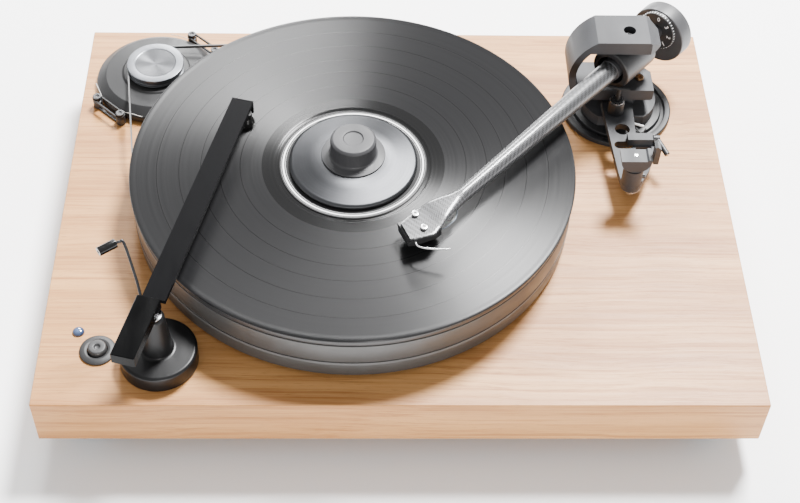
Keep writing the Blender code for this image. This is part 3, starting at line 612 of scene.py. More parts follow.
darkCoat = coated("darkCoat", (0.012, 0.012, 0.013), 0.42)
greyCoat = coated("greyCoat", (0.026, 0.0265, 0.029), 0.52, strength=0.5, specular=0.3)
midCoat = coated("midCoat", (0.026, 0.026, 0.028), 0.44)
blackCoat = coated("blackCoat", (0.0012, 0.0012, 0.0013), 0.22, strength=0.15, specular=0.07)
steelFinish = plainMetal("steelFinish", (0.36, 0.36, 0.37), 0.2)
brassFinish = plainMetal("brassFinish", (0.40, 0.24, 0.13), 0.25)
goldFinish = plainMetal("goldFinish", (0.80, 0.62, 0.30), 0.2)
rubberFinish = plastic("rubberFinish", (0.012, 0.012, 0.0125), 0.55, specular=0.35)
moulded = plastic("moulded", (0.016, 0.016, 0.0165), 0.40)
glossBlack = plastic("glossBlack", (0.0015, 0.0015, 0.0016), 0.14, coat=0.15, specular=0.3)

paint("plinth", woodLook(), 0.0004)
paint("control_board", boardLook(), 0.0003)
paint("phono_sockets", goldFinish)
paint("ground_post", goldFinish)
paint("power_inlet", moulded, 0.0003)
paint("motor_can", plainMetal("drawnSteel", (0.5, 0.5, 0.51), 0.35))
paint("motor_shaft", steelFinish)
paint("bearing_housing", brassFinish)
paint("bearing_ball", steelFinish)
paint("spindle", steelFinish)

footShape = {"ribs": 40, "ribDepth": 0.0005, "padRadius": 0.0095, "studRadius": 0.0028,
             "shoulder": 0.0150, "rimFall": 0.001, "corner": 0.0006, "tone": (0.26, 0.265, 0.275)}
for where, number in (("front_left", 1), ("front_right", 2), ("rear_left", 3), ("rear_right", 4)):
    low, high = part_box("foot_" + where)
    radius, rim = (high.x - low.x) / 2, plinthLow.z - air
    fall, stud = footShape["rimFall"], footShape["studRadius"]
    outline = rounded([(0, 0), (footShape["padRadius"], 0), (radius, footShape["shoulder"]),
                       (radius, rim - fall), (radius - fall, rim), (stud, rim), (stud, high.z),
                       (0, high.z)], footShape["corner"])
    foot = turned(outline, footShape["ribs"] * 4)
    for vert in foot.verts:
        if vert.co.xy.length > radius - 0.0002:
            wave = math.cos(math.atan2(vert.co.y, vert.co.x) * footShape["ribs"])
            vert.co.xy *= 1 - footShape["ribDepth"] * (1 + wave) / 2 / radius
    at = Vector(((low.x + high.x) / 2, (low.y + high.y) / 2, 0))
    piece("foot" + where.title().replace("_", ""), moved(foot, at),
          turnedMetal("footMetal%d" % number, footShape["tone"], 0.34, at),
          "foot_%d" % number, "foot_" + where, "feet")

buttonAt = deckUnder("power_bezel")
powerBezelShape = {"corner": 0.0004, "steps": 96,
                   "profile": [(0.0064, air), (0.0117, air), (0.0117, 0.0013), (0.0102, 0.0020),
                               (0.0082, 0.0024), (0.0064, 0.0018)]}
piece("powerBezel", moved(lathed(powerBezelShape), buttonAt),
      coated("bezelCoat", (0.018, 0.018, 0.0185), 0.5, specular=0.35), "plinth_body",
      "power_bezel")
powerButtonShape = {"corner": 0.0005, "steps": 96,
                    "profile": [(0, -0.018), (0.0060, -0.018), (0.0060, 0.0040), (0.0052, 0.0050),
                                (0.0022, 0.0050), (0.0013, 0.0038), (0, 0.0037)]}
piece("powerButton", moved(lathed(powerButtonShape), buttonAt),
      coated("buttonCoat", (0.026, 0.026, 0.0265), 0.46, specular=0.4), "button",
      "power_button")
lampShape = {"radius": 0.0039, "stem": 0.0023, "depth": 0.006, "rise": 0.0023, "steps": 64}
dome = [(0, -lampShape["depth"]), (lampShape["stem"], -lampShape["depth"]),
        (lampShape["stem"], air), (lampShape["radius"], air)]
dome += [(lampShape["radius"] * math.cos(math.radians(angle)),
          air + lampShape["rise"] * math.sin(math.radians(angle))) for angle in range(10, 90, 10)]
dome += [(0, air + lampShape["rise"])]
lens = moved(turned(dome, lampShape["steps"]), deckUnder("lamp_lens"))
piece("lampLens", lens, lensLook(), "plinth_body", "lamp_lens")

platterRadius = (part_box("platter")[1].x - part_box("platter")[0].x) / 2
platterShape = {"bottom": 0.004, "top": 0.0346, "beltLow": 0.0153, "beltHigh": 0.0175,
                "grooveDepth": 0.0012, "skirt": 0.0005, "lip": 0.0006, "corner": 0.0008,
                "steps": 224}
bore = 0.0039                                  # of everything that sits on the spindle
low, high, lip = platterShape["bottom"], platterShape["top"], platterShape["lip"]
skirt, groove = platterRadius - platterShape["skirt"], platterRadius - platterShape["grooveDepth"]
outline = rounded([(bore, low), (skirt, low), (skirt, platterShape["beltLow"] - lip),
                   (groove, platterShape["beltLow"] - air),
                   (groove, platterShape["beltHigh"] + air),
                   (platterRadius, platterShape["beltHigh"] + lip), (platterRadius, high),
                   (bore, high)], platterShape["corner"])
platterMetal = coated("platterCoat", (0.030, 0.029, 0.028), 0.42, specular=0.6)
piece("platter", onSpindle(turned(outline, platterShape["steps"])), platterMetal, "platter_body",
      "platter")
matShape = {"top": 0.0390, "inset": 0.0002, "corner": 0.0009, "tone": (0.022, 0.022, 0.023)}
low, high, reach = platterShape["top"] + air, matShape["top"], platterRadius - matShape["inset"]
outline = rounded([(bore, low), (reach, low), (reach, high), (bore, high)], matShape["corner"])
piece("platterMat", onSpindle(turned(outline, platterShape["steps"])),
      plastic("matVinyl", matShape["tone"], 0.3), "platter_body", "platter_mat")

recordShape = {"radius": 0.1508, "low": 0.0393, "face": 0.0411, "bead": 0.0414, "recess": 0.0007,
               "steps": 256}
r, face, bead = recordShape["radius"], recordShape["face"], recordShape["bead"]
outline = [(bore, recordShape["low"]), (r - 0.0010, recordShape["low"]),
           (r - 0.0003, recordShape["low"] + 0.0003), (r, recordShape["low"] + 0.0010),
           (r - 0.0003, bead - 0.0005), (r - 0.0010, bead - 0.0001), (r - 0.0020, bead),
           (r - 0.0030, bead - 0.0001), (r - 0.0045, face), (r - 0.0052, face),
           (0.0538, face), (0.0530, face), (0.0524, face - 0.0004),
           (0.0518, face - recordShape["recess"]), (0.0510, face - recordShape["recess"]),
           (bore, face - recordShape["recess"])]
piece("record", onSpindle(turned(outline, recordShape["steps"])), vinylLook(spindleAt),
      "platter_body", "record", smooth=50)
labelShape = {"radius": 0.050, "low": face - 0.0004, "top": face - 0.0001, "corner": 0.0001,
              "steps": 160}
outline = rounded([(bore, labelShape["low"]), (labelShape["radius"], labelShape["low"]),
                   (labelShape["radius"], labelShape["top"]), (bore, labelShape["top"])],
                  labelShape["corner"])
piece("recordLabel", onSpindle(turned(outline, labelShape["steps"])), labelLook(spindleAt),
      "platter_body", "record_label")
print("platter and record ready")

clampBodyShape = {"corner": 0.0006, "steps": 192,
                  "profile": [(bore, face + air), (0.0434, face + air), (0.0434, 0.0442),
                              (0.0420, 0.0450), (0.0300, 0.0472), (0.0224, 0.0492),
                              (bore, 0.0492)]}
clampMetal = turnedMetal("clampMetal", (0.080, 0.082, 0.087), 0.46, spindleAt, anisotropic=0.85,
                         twist=0.0)
piece("clampBody", onSpindle(lathed(clampBodyShape)), clampMetal, "clamp", "clamp_body")
top = 0.065                                    # of the knob
clampKnobShape = {"corner": 0.0006, "steps": 160,
                  "profile": [(0, 0.0600), (bore, 0.0600), (bore, 0.0495), (0.0216, 0.0495),
                              (0.0216, 0.0503), (0.0164, 0.0512), (0.0154, 0.0522),
                              (0.0154, top - 0.0016), (0.0138, top), (0.0068, top),
                              (0.0064, top - 0.0008), (0, top - 0.0008)]}
knobMetal = coated("knobCoat", (0.030, 0.030, 0.032), 0.48, specular=0.3)
piece("clampKnob", onSpindle(lathed(clampKnobShape)), knobMetal, "clamp", "clamp_knob")

motorCoverShape = {"corner": 0.0005, "steps": 144, "bite": 0.1510,
                   "profile": [(0.0030, 0.0080), (0.0030, 0.0130), (0.0240, 0.0130),
                               (0.0252, 0.0118), (0.0372, 0.0112), (0.0440, 0.0062),
                               (0.0445, 0.0050), (0.0445, 0.0018), (0.0300, 0.0018),
                               (0.0300, 0.0080)]}
cover = moved(lathed(motorCoverShape), motorAt)
cover = cutFrom(cover, [tube(spindleAt, motorCoverShape["bite"], deck, deck + 0.02, 320)])
piece("motorCover", cover, coated("motorCoat", (0.016, 0.016, 0.0165), 0.45, specular=0.26),
      "plinth_body", "motor_cover")
pulleyShape = {"radius": 0.0207, "flange": 0.0002, "grooveDepth": 0.0012, "corner": 0.0003,
               "steps": 128}
r, groove = pulleyShape["radius"], pulleyShape["radius"] - pulleyShape["grooveDepth"]
flange = r + pulleyShape["flange"]
outline = rounded([(0, 0.0183), (0.0017, 0.0183), (0.0017, 0.0138), (r, 0.0138), (flange, 0.0147),
                   (groove, 0.0150), (groove, 0.0178), (flange, 0.0181), (r, 0.0200),
                   (0.0152, 0.0200), (0.0146, 0.0197), (0.0076, 0.0186), (0, 0.0186)],
                  pulleyShape["corner"])
pulleyMetal = turnedMetal("pulleyMetal", (0.145, 0.151, 0.162), 0.34, motorAt, anisotropic=0.6)
piece("pulley", moved(turned(outline, pulleyShape["steps"]), motorAt), pulleyMetal, "pulley_body",
      "pulley")
pulleyDishShape = {"corner": 0.00004, "steps": 96,
                   "profile": [(0.0076, 0.01865), (0.0146, 0.01975), (0.0146, 0.01990),
                               (0.0078, 0.01885), (0, 0.01885), (0, 0.01870), (0.0070, 0.01870)]}
dishMetal = turnedMetal("dishMetal", (0.075, 0.077, 0.081), 0.36, motorAt, anisotropic=0.8)
piece("pulleyDish", moved(lathed(pulleyDishShape), motorAt), dishMetal, "pulley_body", slot="pulley")


def beltLine(slack, count):
    big, small = spindleAt.xy, motorAt.xy
    bigRadius = platterRadius - platterShape["grooveDepth"] + slack
    smallRadius = pulleyShape["radius"] - pulleyShape["grooveDepth"] + slack
    line = small - big
    heading = math.degrees(math.atan2(line.y, line.x))
    lean = math.degrees(math.acos((bigRadius - smallRadius) / line.length))
    return (arc(big, bigRadius, heading + lean, heading + 360 - lean, count)
            + arc(small, smallRadius, heading - lean, heading + lean, count // 5))


def followTree():
    # A flat strap of given width and thickness along a closed line of points.
    tree, inputs, end, add = nodeTree("strapAlongLine", {"Line": "Object", "Width": "Float",
                                                         "Thickness": "Float", "Finish": "Material"})
    line = add("ObjectInfo", {"Object": inputs["Line"]}).outputs["Geometry"]
    curve = add("MeshToCurve", {"Mesh": line}).outputs[0]
    section = add("CurvePrimitiveQuadrilateral", {"Width": inputs["Thickness"],
                                                  "Height": inputs["Width"]}).outputs[0]
    strap = add("CurveToMesh", {"Curve": curve, "Profile Curve": section,
                                "Fill Caps": True}).outputs[0]
    real = add("RealizeInstances", {"Geometry": strap}).outputs[0]
    painted = add("SetMaterial", {"Geometry": real, "Material": inputs["Finish"]}).outputs[0]
    tree.links.new(painted, end.inputs[0])
    return tree


def strapAround(points, height, shape, material, name):
    bm = bmesh.new()
    verts = [bm.verts.new((x, y, height)) for x, y in points]
    for i in range(len(verts)):
        bm.edges.new((verts[i], verts[(i + 1) % len(verts)]))
    mesh = bpy.data.meshes.new("line")
    bm.to_mesh(mesh)
    bm.free()
    line = bpy.data.objects.new("line", mesh)
    bpy.context.scene.collection.objects.link(line)
    result = runTree(followTree(), {"Line": line, "Width": shape["width"],
                                    "Thickness": shape["thickness"], "Finish": material}, name)
    bpy.data.objects.remove(line, do_unlink=True)
    return result


beltShape = {"width": 0.0022, "thickness": 0.0010, "height": 0.0164, "points": 300,
             "tone": (0.07, 0.07, 0.07)}
beltPath = beltLine(air + beltShape["thickness"] / 2, beltShape["points"])
beltMesh = strapAround(beltPath, deck + beltShape["height"], beltShape, rubberFinish, "belt")
piece("belt", beltMesh, plastic("beltRubber", beltShape["tone"], 0.5), "plinth_body", "belt")


def stadium(ends, radius, count=17):
    one, two = Vector(ends[0]), Vector(ends[1])
    heading = math.degrees(math.atan2(two.y - one.y, two.x - one.x))
    return (arc(two, radius, heading - 90, heading + 90, count)
            + arc(one, radius, heading + 90, heading + 270, count))


bracketShape = {"facing": {"front": 227, "rear": 47}, "spread": 15, "reach": 0.0486,
                "plateRadius": 0.0022, "plateTop": 0.0015}
lugShape = {"corner": 0.0003, "steps": 40,
            "profile": [(0, air), (0.0034, air), (0.0034, 0.0060), (0.0022, 0.0066),
                        (0.0022, 0.0090), (0.0030, 0.0092), (0.0030, 0.0104), (0.0014, 0.0104),
                        (0.0012, 0.0097), (0, 0.0097)]}
bandShape = {"radius": 0.0030, "height": 0.0078, "width": 0.0016, "thickness": 0.0010}
threadShape = {"radius": 0.00022, "start": 0.0036, "finish": 0.0425, "aside": 0.0150,
               "heights": (0.0080, 0.0084, 0.0078), "colour": (0.55, 0.53, 0.50)}


def threadMesh(lug, side):
    # A thin cord from a lug to the motor's cover.
    inward = (motorAt.xy - lug).normalized()
    along = Vector((-inward.y, inward.x)) * side
    start = lug + inward * threadShape["start"]
    finish = motorAt.xy - inward.normalized() * threadShape["finish"] + along * threadShape["aside"]
    stops = zip((start, (start + finish) / 2, finish), threadShape["heights"])
    return swept([(*place, deck + height) for place, height in stops], threadShape["radius"], 8)


for where, facing in bracketShape["facing"].items():
    spread = bracketShape["spread"]
    ends = arc(motorAt, bracketShape["reach"], facing - spread, facing + spread, 2)
    plate = prism(stadium(ends, bracketShape["plateRadius"]), deck + air,
                  deck + bracketShape["plateTop"])
    lugs = [moved(lathed(lugShape), (x, y, deck)) for x, y in ends]
    piece("motorBracket" + where.title(), merged(plate, *lugs), midCoat, "plinth_body",
          "motor_bracket_" + where, "motor_bracket")
    band = strapAround(stadium(ends, bandShape["radius"]), deck + bandShape["height"], bandShape,
                       rubberFinish, "band")
    piece("motorBand" + where.title(), band, rubberFinish, "plinth_body",
          "motor_band_" + where, "motor_band")
    for index, end in enumerate(ends):
        cord = plastic("paleCord%s%d" % (where, index), threadShape["colour"], 0.5)
        piece("motorThread%s%d" % (where.title(), index),
              threadMesh(Vector(end), 1 if index == 0 else -1), cord, "plinth_body",
              slot="motor_band")
print("motor ready")

armCollarShape = {"corner": 0.0003, "steps": 192,
                  "profile": [(0.0060, air), (0.0403, air), (0.0403, 0.0034), (0.0395, 0.0040),
                              (0.0360, 0.0040), (0.0356, 0.0016), (0.0330, 0.0016),
                              (0.0324, 0.0046), (0.0060, 0.0046)]}
piece("armCollar", moved(lathed(armCollarShape), pivotDeck),
      coated("collarCoat", (0.014, 0.014, 0.015), 0.44, specular=0.32), "plinth_body", "arm_collar")
drumLow, drumFront = 0.0046 + air, 0.070 + shift
armPillarShape = {"corner": 0.0004, "steps": 160,
                  "profile": [(0, drumLow), (0.0275, drumLow), (0.0275, 0.0140), (0.0130, 0.0140),
                              (0.0130, 0.0227), (0, 0.0227)]}
pillar = moved(lathed(armPillarShape), pivotDeck)
front = block((pivotAt.x - 0.04, pivotAt.y - 0.05, deck), (pivotAt.x + 0.04, drumFront, deck + 0.03))
piece("armPillar", cutFrom(pillar, [front]), greyCoat, "plinth_body", "arm_pillar",
      bevel=0.0003)

# The arm's fine cable leaves the pillar by a white ferrule and dives under the platform.
cableOut = {"ferrule": ((0.1722, 0.0675, 0.0095), (0.1792, 0.0645, 0.0095)),
            "ferruleRadius": 0.0008, "ferruleTone": (0.62, 0.62, 0.62), "wireRadius": 0.0005,
            "wires": (((0.1735, 0.0644, 0.0085), (0.1766, 0.0593, 0.0078), (0.1824, 0.0562, 0.0066)),
                      ((0.1807, 0.0635, 0.0085), (0.1767, 0.0588, 0.0062), (0.1728, 0.0557, 0.0066)))}
base = Vector((0, shift, deck))
ferrule = swept([base + Vector(end) for end in cableOut["ferrule"]], cableOut["ferruleRadius"], 20)
piece("cableFerrule", ferrule, plastic("ferruleWhite", cableOut["ferruleTone"], 0.35), "plinth_body",
      slot="arm_pillar")
for index, corners in enumerate(cableOut["wires"]):
    wire = swept(smoothPath([base + Vector(corner) for corner in corners], 8),
                 cableOut["wireRadius"], 10)
    piece("cableWire%d" % index, wire, rubberFinish, "plinth_body", slot="arm_pillar")

bridgeShape = {"front": 0.078, "back": 0.108, "top": 0.0773, "underside": 0.0670, "floor": 0.0324,
               "bottom": 0.0230, "arcX": 0.1577, "arcZ": 0.0460, "outer": 0.0362, "inner": 0.0310,
               "foot": 0.1847, "footRound": 0.0012, "nose": 0.1846, "noseLow": 0.0707,
               "cornerCut": 0.0078, "footCut": 0.0110,
               "screwHoles": ((0.0043, 0.0705, 64), (0.0027, 0.06, 48))}


def bridgeMesh():
    # A C open to the right, with both noses cut slantwise seen from above.
    shape = bridgeShape
    centre = (shape["arcX"], shape["arcZ"])

    def angle(height, radius):
        return 180 - math.degrees(math.asin((height - centre[1]) / radius))
    outline = arc(centre, shape["outer"], angle(shape["top"], shape["outer"]),
                  angle(shape["bottom"], shape["outer"]), 56)
    outline += [(shape["foot"] - shape["footRound"], shape["bottom"]),
                (shape["foot"], shape["bottom"] + shape["footRound"]),
                (shape["foot"], shape["floor"])]
    outline += arc(centre, shape["inner"], angle(shape["floor"], shape["inner"]),
                   angle(shape["underside"], shape["inner"]), 48)
    outline += [(0.1815, shape["underside"]), (shape["nose"], shape["underside"] + 0.0022),
                (shape["nose"], shape["noseLow"]), (0.1760, shape["top"])]
    back = shape["back"] + shift
    slab = upright(prism(outline, 0, shape["back"] - shape["front"]), (0, back, deck))
    low, high = deck + shape["underside"] - 0.004, deck + shape["top"] + 0.001
    cuts = []
    for y, way in ((shape["front"] + shift, 1), (back, -1)):
        cuts.append(prism([(0.1762, y - way * 0.001), (0.1857, y - way * 0.001),
                           (0.1857, y + way * shape["cornerCut"])], low, high))
    cuts.append(prism([(0.1737, back + 0.001), (0.1857, back + 0.001),
                       (0.1857, back - shape["footCut"])], deck + 0.02, deck + 0.04))
    cuts += [tube(pivotAt, radius, deck + start, deck + 0.09, steps)
             for radius, start, steps in shape["screwHoles"]]
    return cutFrom(slab, cuts)


piece("armBridge", bridgeMesh(), greyCoat, "plinth_body", "arm_bridge", bevel=0.0004)
lowerBearingShape = {"corner": 0.0003, "steps": 64,
                     "profile": [(0, 0.0326), (0.0060, 0.0326), (0.0060, 0.0345), (0, 0.0363)]}
piece("lowerBearing", moved(lathed(lowerBearingShape), pivotDeck), brassFinish, "plinth_body",
      slot="arm_bridge")
topBearingScrewShape = {"corner": 0.0002, "steps": 64,
                        "profile": [(0, 0.0669), (0.0023, 0.0685), (0.0023, 0.0708),
                                    (0.0040, 0.0708), (0.0040, 0.0728), (0.0018, 0.0728),
                                    (0.0017, 0.0716), (0, 0.0714)]}
piece("topBearingScrew", moved(lathed(topBearingScrewShape), pivotDeck), darkCoat, "plinth_body",
      "top_bearing_screw", "screws")


def socketScrew(radius, height, sides=6):
    # Screw head with a hexagonal socket.
    head = turned(rounded([(0, 0), (radius, 0), (radius, height), (0, height)], height * 0.25), 48)
    hexagon = prism(arc((0, 0), radius * 0.5, 0, 360 - 360 / sides, sides), height * 0.4, height * 2)
    return cutFrom(head, [hexagon])


low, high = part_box("bridge_screw")
piece("bridgeScrew", moved(socketScrew((high.x - low.x) / 2, high.z - low.z),
                           ((low.x + high.x) / 2, (low.y + high.y) / 2, low.z)),
      brassFinish, "plinth_body", "bridge_screw")


platformShape = {"low": 0.015, "top": 0.020, "post": (0.1610, 0.0010), "noseRadius": 0.0072,
                 "backLeft": 0.1480, "waistLeft": (0.1530, 0.0080), "backRight": 0.1706,
                 "right": ((0.1745, 0.0100), (0.1835, 0.0340), (0.1835, 0.0415), (0.1695, 0.0415)),
                 "window": ((0.1672, 0.0160), (0.1735, 0.0180), (0.1795, 0.0335), (0.1680, 0.0335)),
                 "key": ((0.1565, 0.0355), (0.1630, 0.0355)), "keyRadius": 0.0034,
                 "hole": (0.1605, 0.0511), "holeRadius": 0.0053,
                 "strapLow": (0.1622, 0.0352, 0.0195), "strapHigh": (0.1800, 0.0420, 0.0255)}
restPostShape = {"corner": 0, "steps": 96,
                 "profile": [(0, 0.018), (0.0070, 0.018), (0.0070, 0.0340), (0, 0.0340)]}


def onDeck(point):
    # From the board's own middle and deck to the scene.
    return (point[0], point[1] + shift, *(deck + height for height in point[2:]))


def platformMesh():
    # The flat platform with its two windows, the rest's post and the cue lever's strap.
    shape = platformShape
    low, top = deck + shape["low"], deck + shape["top"]
    back = pivotAt.y - 0.0130 - air
    post = onDeck(shape["post"])
    outline = ([(shape["backLeft"], back), onDeck(shape["waistLeft"])]
               + arc(post, shape["noseRadius"], 200, 340, 32)
               + [onDeck(point) for point in shape["right"]] + [(shape["backRight"], back)])
    window = [onDeck(point) for point in shape["window"]]
    key = stadium([onDeck(point) for point in shape["key"]], shape["keyRadius"])
    plate = cutFrom(prism(outline, low, top),
                    [tube(onDeck(shape["hole"]), shape["holeRadius"], deck, deck + 0.03, 64),
                     prism(key, deck, deck + 0.03), prism(window, deck, deck + 0.03)])
    strap = block(onDeck(shape["strapLow"]), onDeck(shape["strapHigh"]))
    return cutFrom(plate, [moved(lathed(restPostShape), (*post, deck)), strap], "UNION")


piece("restPlatform", platformMesh(), greyCoat, "plinth_body", "rest_platform",
      bevel=0.0003)
paint("rest_cradle", greyCoat, 0.0003)
paint("rest_clip", moulded, 0.0003)
low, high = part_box("rest_cradle")
cradleScrewShape = {"corner": 0.0001, "steps": 32, "height": 0.0450, "back": 0.0005,
                    "profile": [(0, 0), (0.0014, 0), (0.0014, 0.0004), (0, 0.0005)]}
screwAt = ((low.x + high.x) / 2, (low.y + high.y) / 2 + cradleScrewShape["back"],
           deck + cradleScrewShape["height"])
piece("cradleScrew", moved(lathed(cradleScrewShape), screwAt),
      plainMetal("brightScrew", (0.95, 0.95, 0.95), 0.25), "plinth_body", slot="screws")
postScrewShape = {"corner": 0.0003, "steps": 32, "at": (0.1676, 0.0010, 0.0250),
                  "profile": [(0, 0), (0.0019, 0), (0.0019, 0.0022), (0, 0.0022)]}
postScrewFrame = Matrix.Translation(onDeck(postScrewShape["at"])) @ Matrix.Rotation(math.pi / 2, 4, "Y")
piece("postScrew", put(lathed(postScrewShape), postScrewFrame), darkCoat, "plinth_body",
      slot="screws")

liftAt = deckUnder("lift_cylinder")
liftCylinderShape = {"corner": 0.0003, "steps": 96,
                     "profile": [(0.0018, 0.0203), (0.0057, 0.0203), (0.0057, 0.0304),
                                 (0.0050, 0.0311), (0.0036, 0.0312), (0.0034, 0.0320),
                                 (0.0018, 0.0320)]}
piece("liftCylinder", moved(lathed(liftCylinderShape), liftAt), darkCoat, "plinth_body", "lift_cylinder")
liftRingShape = {"corner": 0.0001, "steps": 96,
                 "profile": [(0.0038, 0.0313), (0.0052, 0.0312), (0.0051, 0.0316), (0.0039, 0.0317)]}
piece("liftRing", moved(lathed(liftRingShape), liftAt), steelFinish, "plinth_body", slot="lift_cylinder")


liftBarShape = {"radius": 0.0010, "height": 0.0430, "start": -42, "end": 18, "widen": 0.5,
                "rows": 40}
pistonShape = {"corner": 0, "steps": 32,
               "profile": [(0, 0.0215), (0.0014, 0.0215), (0.0014, 0.0425), (0, 0.0425)]}


def liftBarMesh():
    # A round bar bent round the pivot, flattened a little, on its piston.
    shape = liftBarShape
    toBar = liftAt.xy - pivotAt.xy
    facing = math.degrees(math.atan2(toBar.y, toBar.x))
    line = arc(pivotAt, toBar.length, facing + shape["start"], facing + shape["end"], shape["rows"])
    rod = swept([(x, y, deck + shape["height"]) for x, y in line], shape["radius"], 16)
    for vert in rod.verts:
        outward = vert.co.xy - pivotAt.xy
        aside = (outward.length - toBar.length) / toBar.length
        vert.co.xy = pivotAt.xy + outward * (1 + shape["widen"] * aside)
    return merged(rod, moved(lathed(pistonShape), liftAt))


piece("liftBar", liftBarMesh(), rubberFinish, "lift", "lift_bar")
leverAt = Vector(joints["cue_lever_turn"]["pos_m"])
leverHubShape = {"corner": 0.0003, "steps": 48,
                 "profile": [(0, -0.0110), (0.0012, -0.0110), (0.0012, -0.0028), (0.0026, -0.0028),
                             (0.0026, 0.0020), (0, 0.0020)]}
fingerShape = {"path": [(0, 0, 0), (0.0018, -0.0040, -0.0006), (0.0062, -0.0130, -0.0026)],
               "radius": 0.0020}
lever = merged(lathed(leverHubShape, "X"), swept(fingerShape["path"], fingerShape["radius"], 32))
piece("cueLever", moved(lever, leverAt), darkCoat, "cue", "cue_lever", bevel=0.0003)
leverTipShape = {"corner": 0.0001, "steps": 32, "at": (0.0063, -0.0132, -0.00265),
                 "facing": (0.0044, -0.0090, -0.0020),
                 "profile": [(0, -0.0002), (0.0013, -0.0002), (0.0013, 0.0002), (0, 0.0002)]}
tipTurn = Vector(leverTipShape["facing"]).to_track_quat("Z", "Y").to_matrix().to_4x4()
tip = put(lathed(leverTipShape), Matrix.Translation(leverAt + Vector(leverTipShape["at"])) @ tipTurn)
piece("leverTip", tip, steelFinish, "cue", slot="cue_lever")
print("tonearm base ready")

gimbalRingShape = {"corner": 0.0004, "steps": 128,
                   "profile": [(0.0106, -0.0165), (0.0150, -0.0165), (0.0150, 0.0171),
                               (0.0142, 0.0179), (0.0106, 0.0179)]}
ringMetal = coated("ringCoat", (0.014, 0.014, 0.015), 0.42, specular=0.38)
piece("gimbalRing", put(lathed(gimbalRingShape, "X"), yokeFrame), ringMetal, "yoke", "gimbal_ring")
coneShape = {"corner": 0, "steps": 32,
             "profile": [(0, 0.0083), (0.0010, 0.0092), (0.0010, 0.0106), (0, 0.0106)]}
for index, side in enumerate((1, -1)):
    cone = put(lathed(coneShape), yokeFrame @ Matrix.Rotation(-side * math.pi / 2, 4, "X"))
    piece("pivotPoint%d" % index, cone, brassFinish, "yoke", slot="gimbal_ring")

tubeShape = {"radii": ((0.0200, 0.0075), (0.0600, 0.0071), (0.1100, 0.0063), (0.1500, 0.0055)),
             "sides": 72, "between": 6, "headStart": 0.186, "wrapRadius": 0.0065,
             "diagonal": 0.7071}
headSections = (                 # right edge, left edge, half height, middle height
    ((0.1830, -0.0050), (0.1830, 0.0049), 0.0049, 0.0),
    ((0.1900, -0.0064), (0.1905, 0.0050), 0.0042, 0.0),
    ((0.1970, -0.0092), (0.1990, 0.0056), 0.0031, 0.0006),
    ((0.2050, -0.0118), (0.2080, 0.0066), 0.0021, 0.0009),
    ((0.2130, -0.0134), (0.2170, 0.0082), 0.0014, 0.0002),
    ((0.2210, -0.0137), (0.2240, 0.0090), 0.0012, 0.0),
    ((0.2265, -0.0137), (0.2305, 0.0052), 0.0012, 0.0),
    ((0.2308, -0.0135), (0.2375, 0.0008), 0.0012, 0.0))


def armSection(right, left, half, height, sides):
    right, left = Vector((*right, height)), Vector((*left, height))
    centre, reach = (left + right) / 2, (right - left) / 2
    power = 0.35 + 0.65 * min(1.0, half / reach.length)
    points = []
    for k in range(sides):
        c, s = math.cos(2 * math.pi * k / sides), math.sin(2 * math.pi * k / sides)
        points.append(centre + reach * math.copysign(abs(c) ** power, c)
                      + Vector((0, 0, half * math.copysign(abs(s) ** power, s))))
    return points


def armTubeMesh():
    # Round tube running into the flat headshell, with the weave's UV laid round it.
    shape = tubeShape
    plain = [((x, -radius), (x, radius), radius, 0.0) for x, radius in shape["radii"]]
    sections = [armSection(*section, shape["sides"]) for section in plain + list(headSections)]
    fineRows = []
    for index in range(len(sections) - 1):
        a = sections[max(index - 1, 0)]
        b, c = sections[index], sections[index + 1]
        d = sections[min(index + 2, len(sections) - 1)]
        rows = 1 if index >= len(sections) - 3 else shape["between"]
        for t in (k / rows for k in range(rows)):
            row = []
            for p, q, u, v in zip(a, b, c, d):
                spline = 0.5 * (2 * q + (u - p) * t + (2 * p - 5 * q + 4 * u - v) * t * t
                                + (3 * q - p - 3 * u + v) * t ** 3)
                straight = q.lerp(u, t)
                row.append(spline.lerp(straight, 0.5) if index >= 4 else straight)
            fineRows.append(row)
    fineRows.append(sections[-1])
    bm = bmesh.new()
    rings = [[bm.verts.new(point) for point in row] for row in fineRows]
    skinned(bm, rings)
    layer = bm.loops.layers.uv.new("weave")
    start, wrap, slant = shape["headStart"], shape["wrapRadius"], shape["diagonal"]
    for f in bm.faces:
        for loop in f.loops:
            co = loop.vert.co
            if co.x > start:
                loop[layer].uv = ((co.x + co.y) * slant, (co.x - co.y) * slant)
            else:
                loop[layer].uv = (co.x, math.atan2(co.z, co.y) * wrap)
    # The seam of the angle is closed by lifting the wrapped corners.
    for f in bm.faces:
        values = [loop[layer].uv.y for loop in f.loops]
        if max(loop.vert.co.x for loop in f.loops) <= start and max(values) - min(values) > 0.02:
            for loop in f.loops:
                if loop[layer].uv.y < 0:
                    loop[layer].uv.y += 2 * math.pi * wrap
    return put(bm, armFrame)


piece("armTube", armTubeMesh(), carbonLook(), "arm", "arm_tube", smooth=40)
tubeSleeveShape = {"corner": 0.0002, "steps": 96,
                   "profile": [(0.0074, -0.0140), (0.0080, -0.0140), (0.0080, 0.0196),
                               (0.0074, 0.0199)]}
piece("tubeSleeve", put(lathed(tubeSleeveShape, "X"), armFrame), midCoat, "arm", slot="arm_tube")

cartridgeShape = {"at": (0.2222, -0.0049, 0), "turn": -23.4, "halfWidth": 0.0072,
                  "side": [(-0.0130, -0.0015), (-0.0130, -0.0100), (-0.0090, -0.0122),
                           (0.0060, -0.0122), (0.0112, -0.0105), (0.0125, -0.0015)],
                  "seams": (((-0.0140, -0.0080, -0.0067), (0.0140, -0.0066, -0.0061)),
                            ((-0.0140, 0.0066, -0.0067), (0.0140, 0.0080, -0.0061)))}
cartridgeFrame = (armFrame @ Matrix.Translation(cartridgeShape["at"])
                  @ Matrix.Rotation(math.radians(cartridgeShape["turn"]), 4, "Z"))


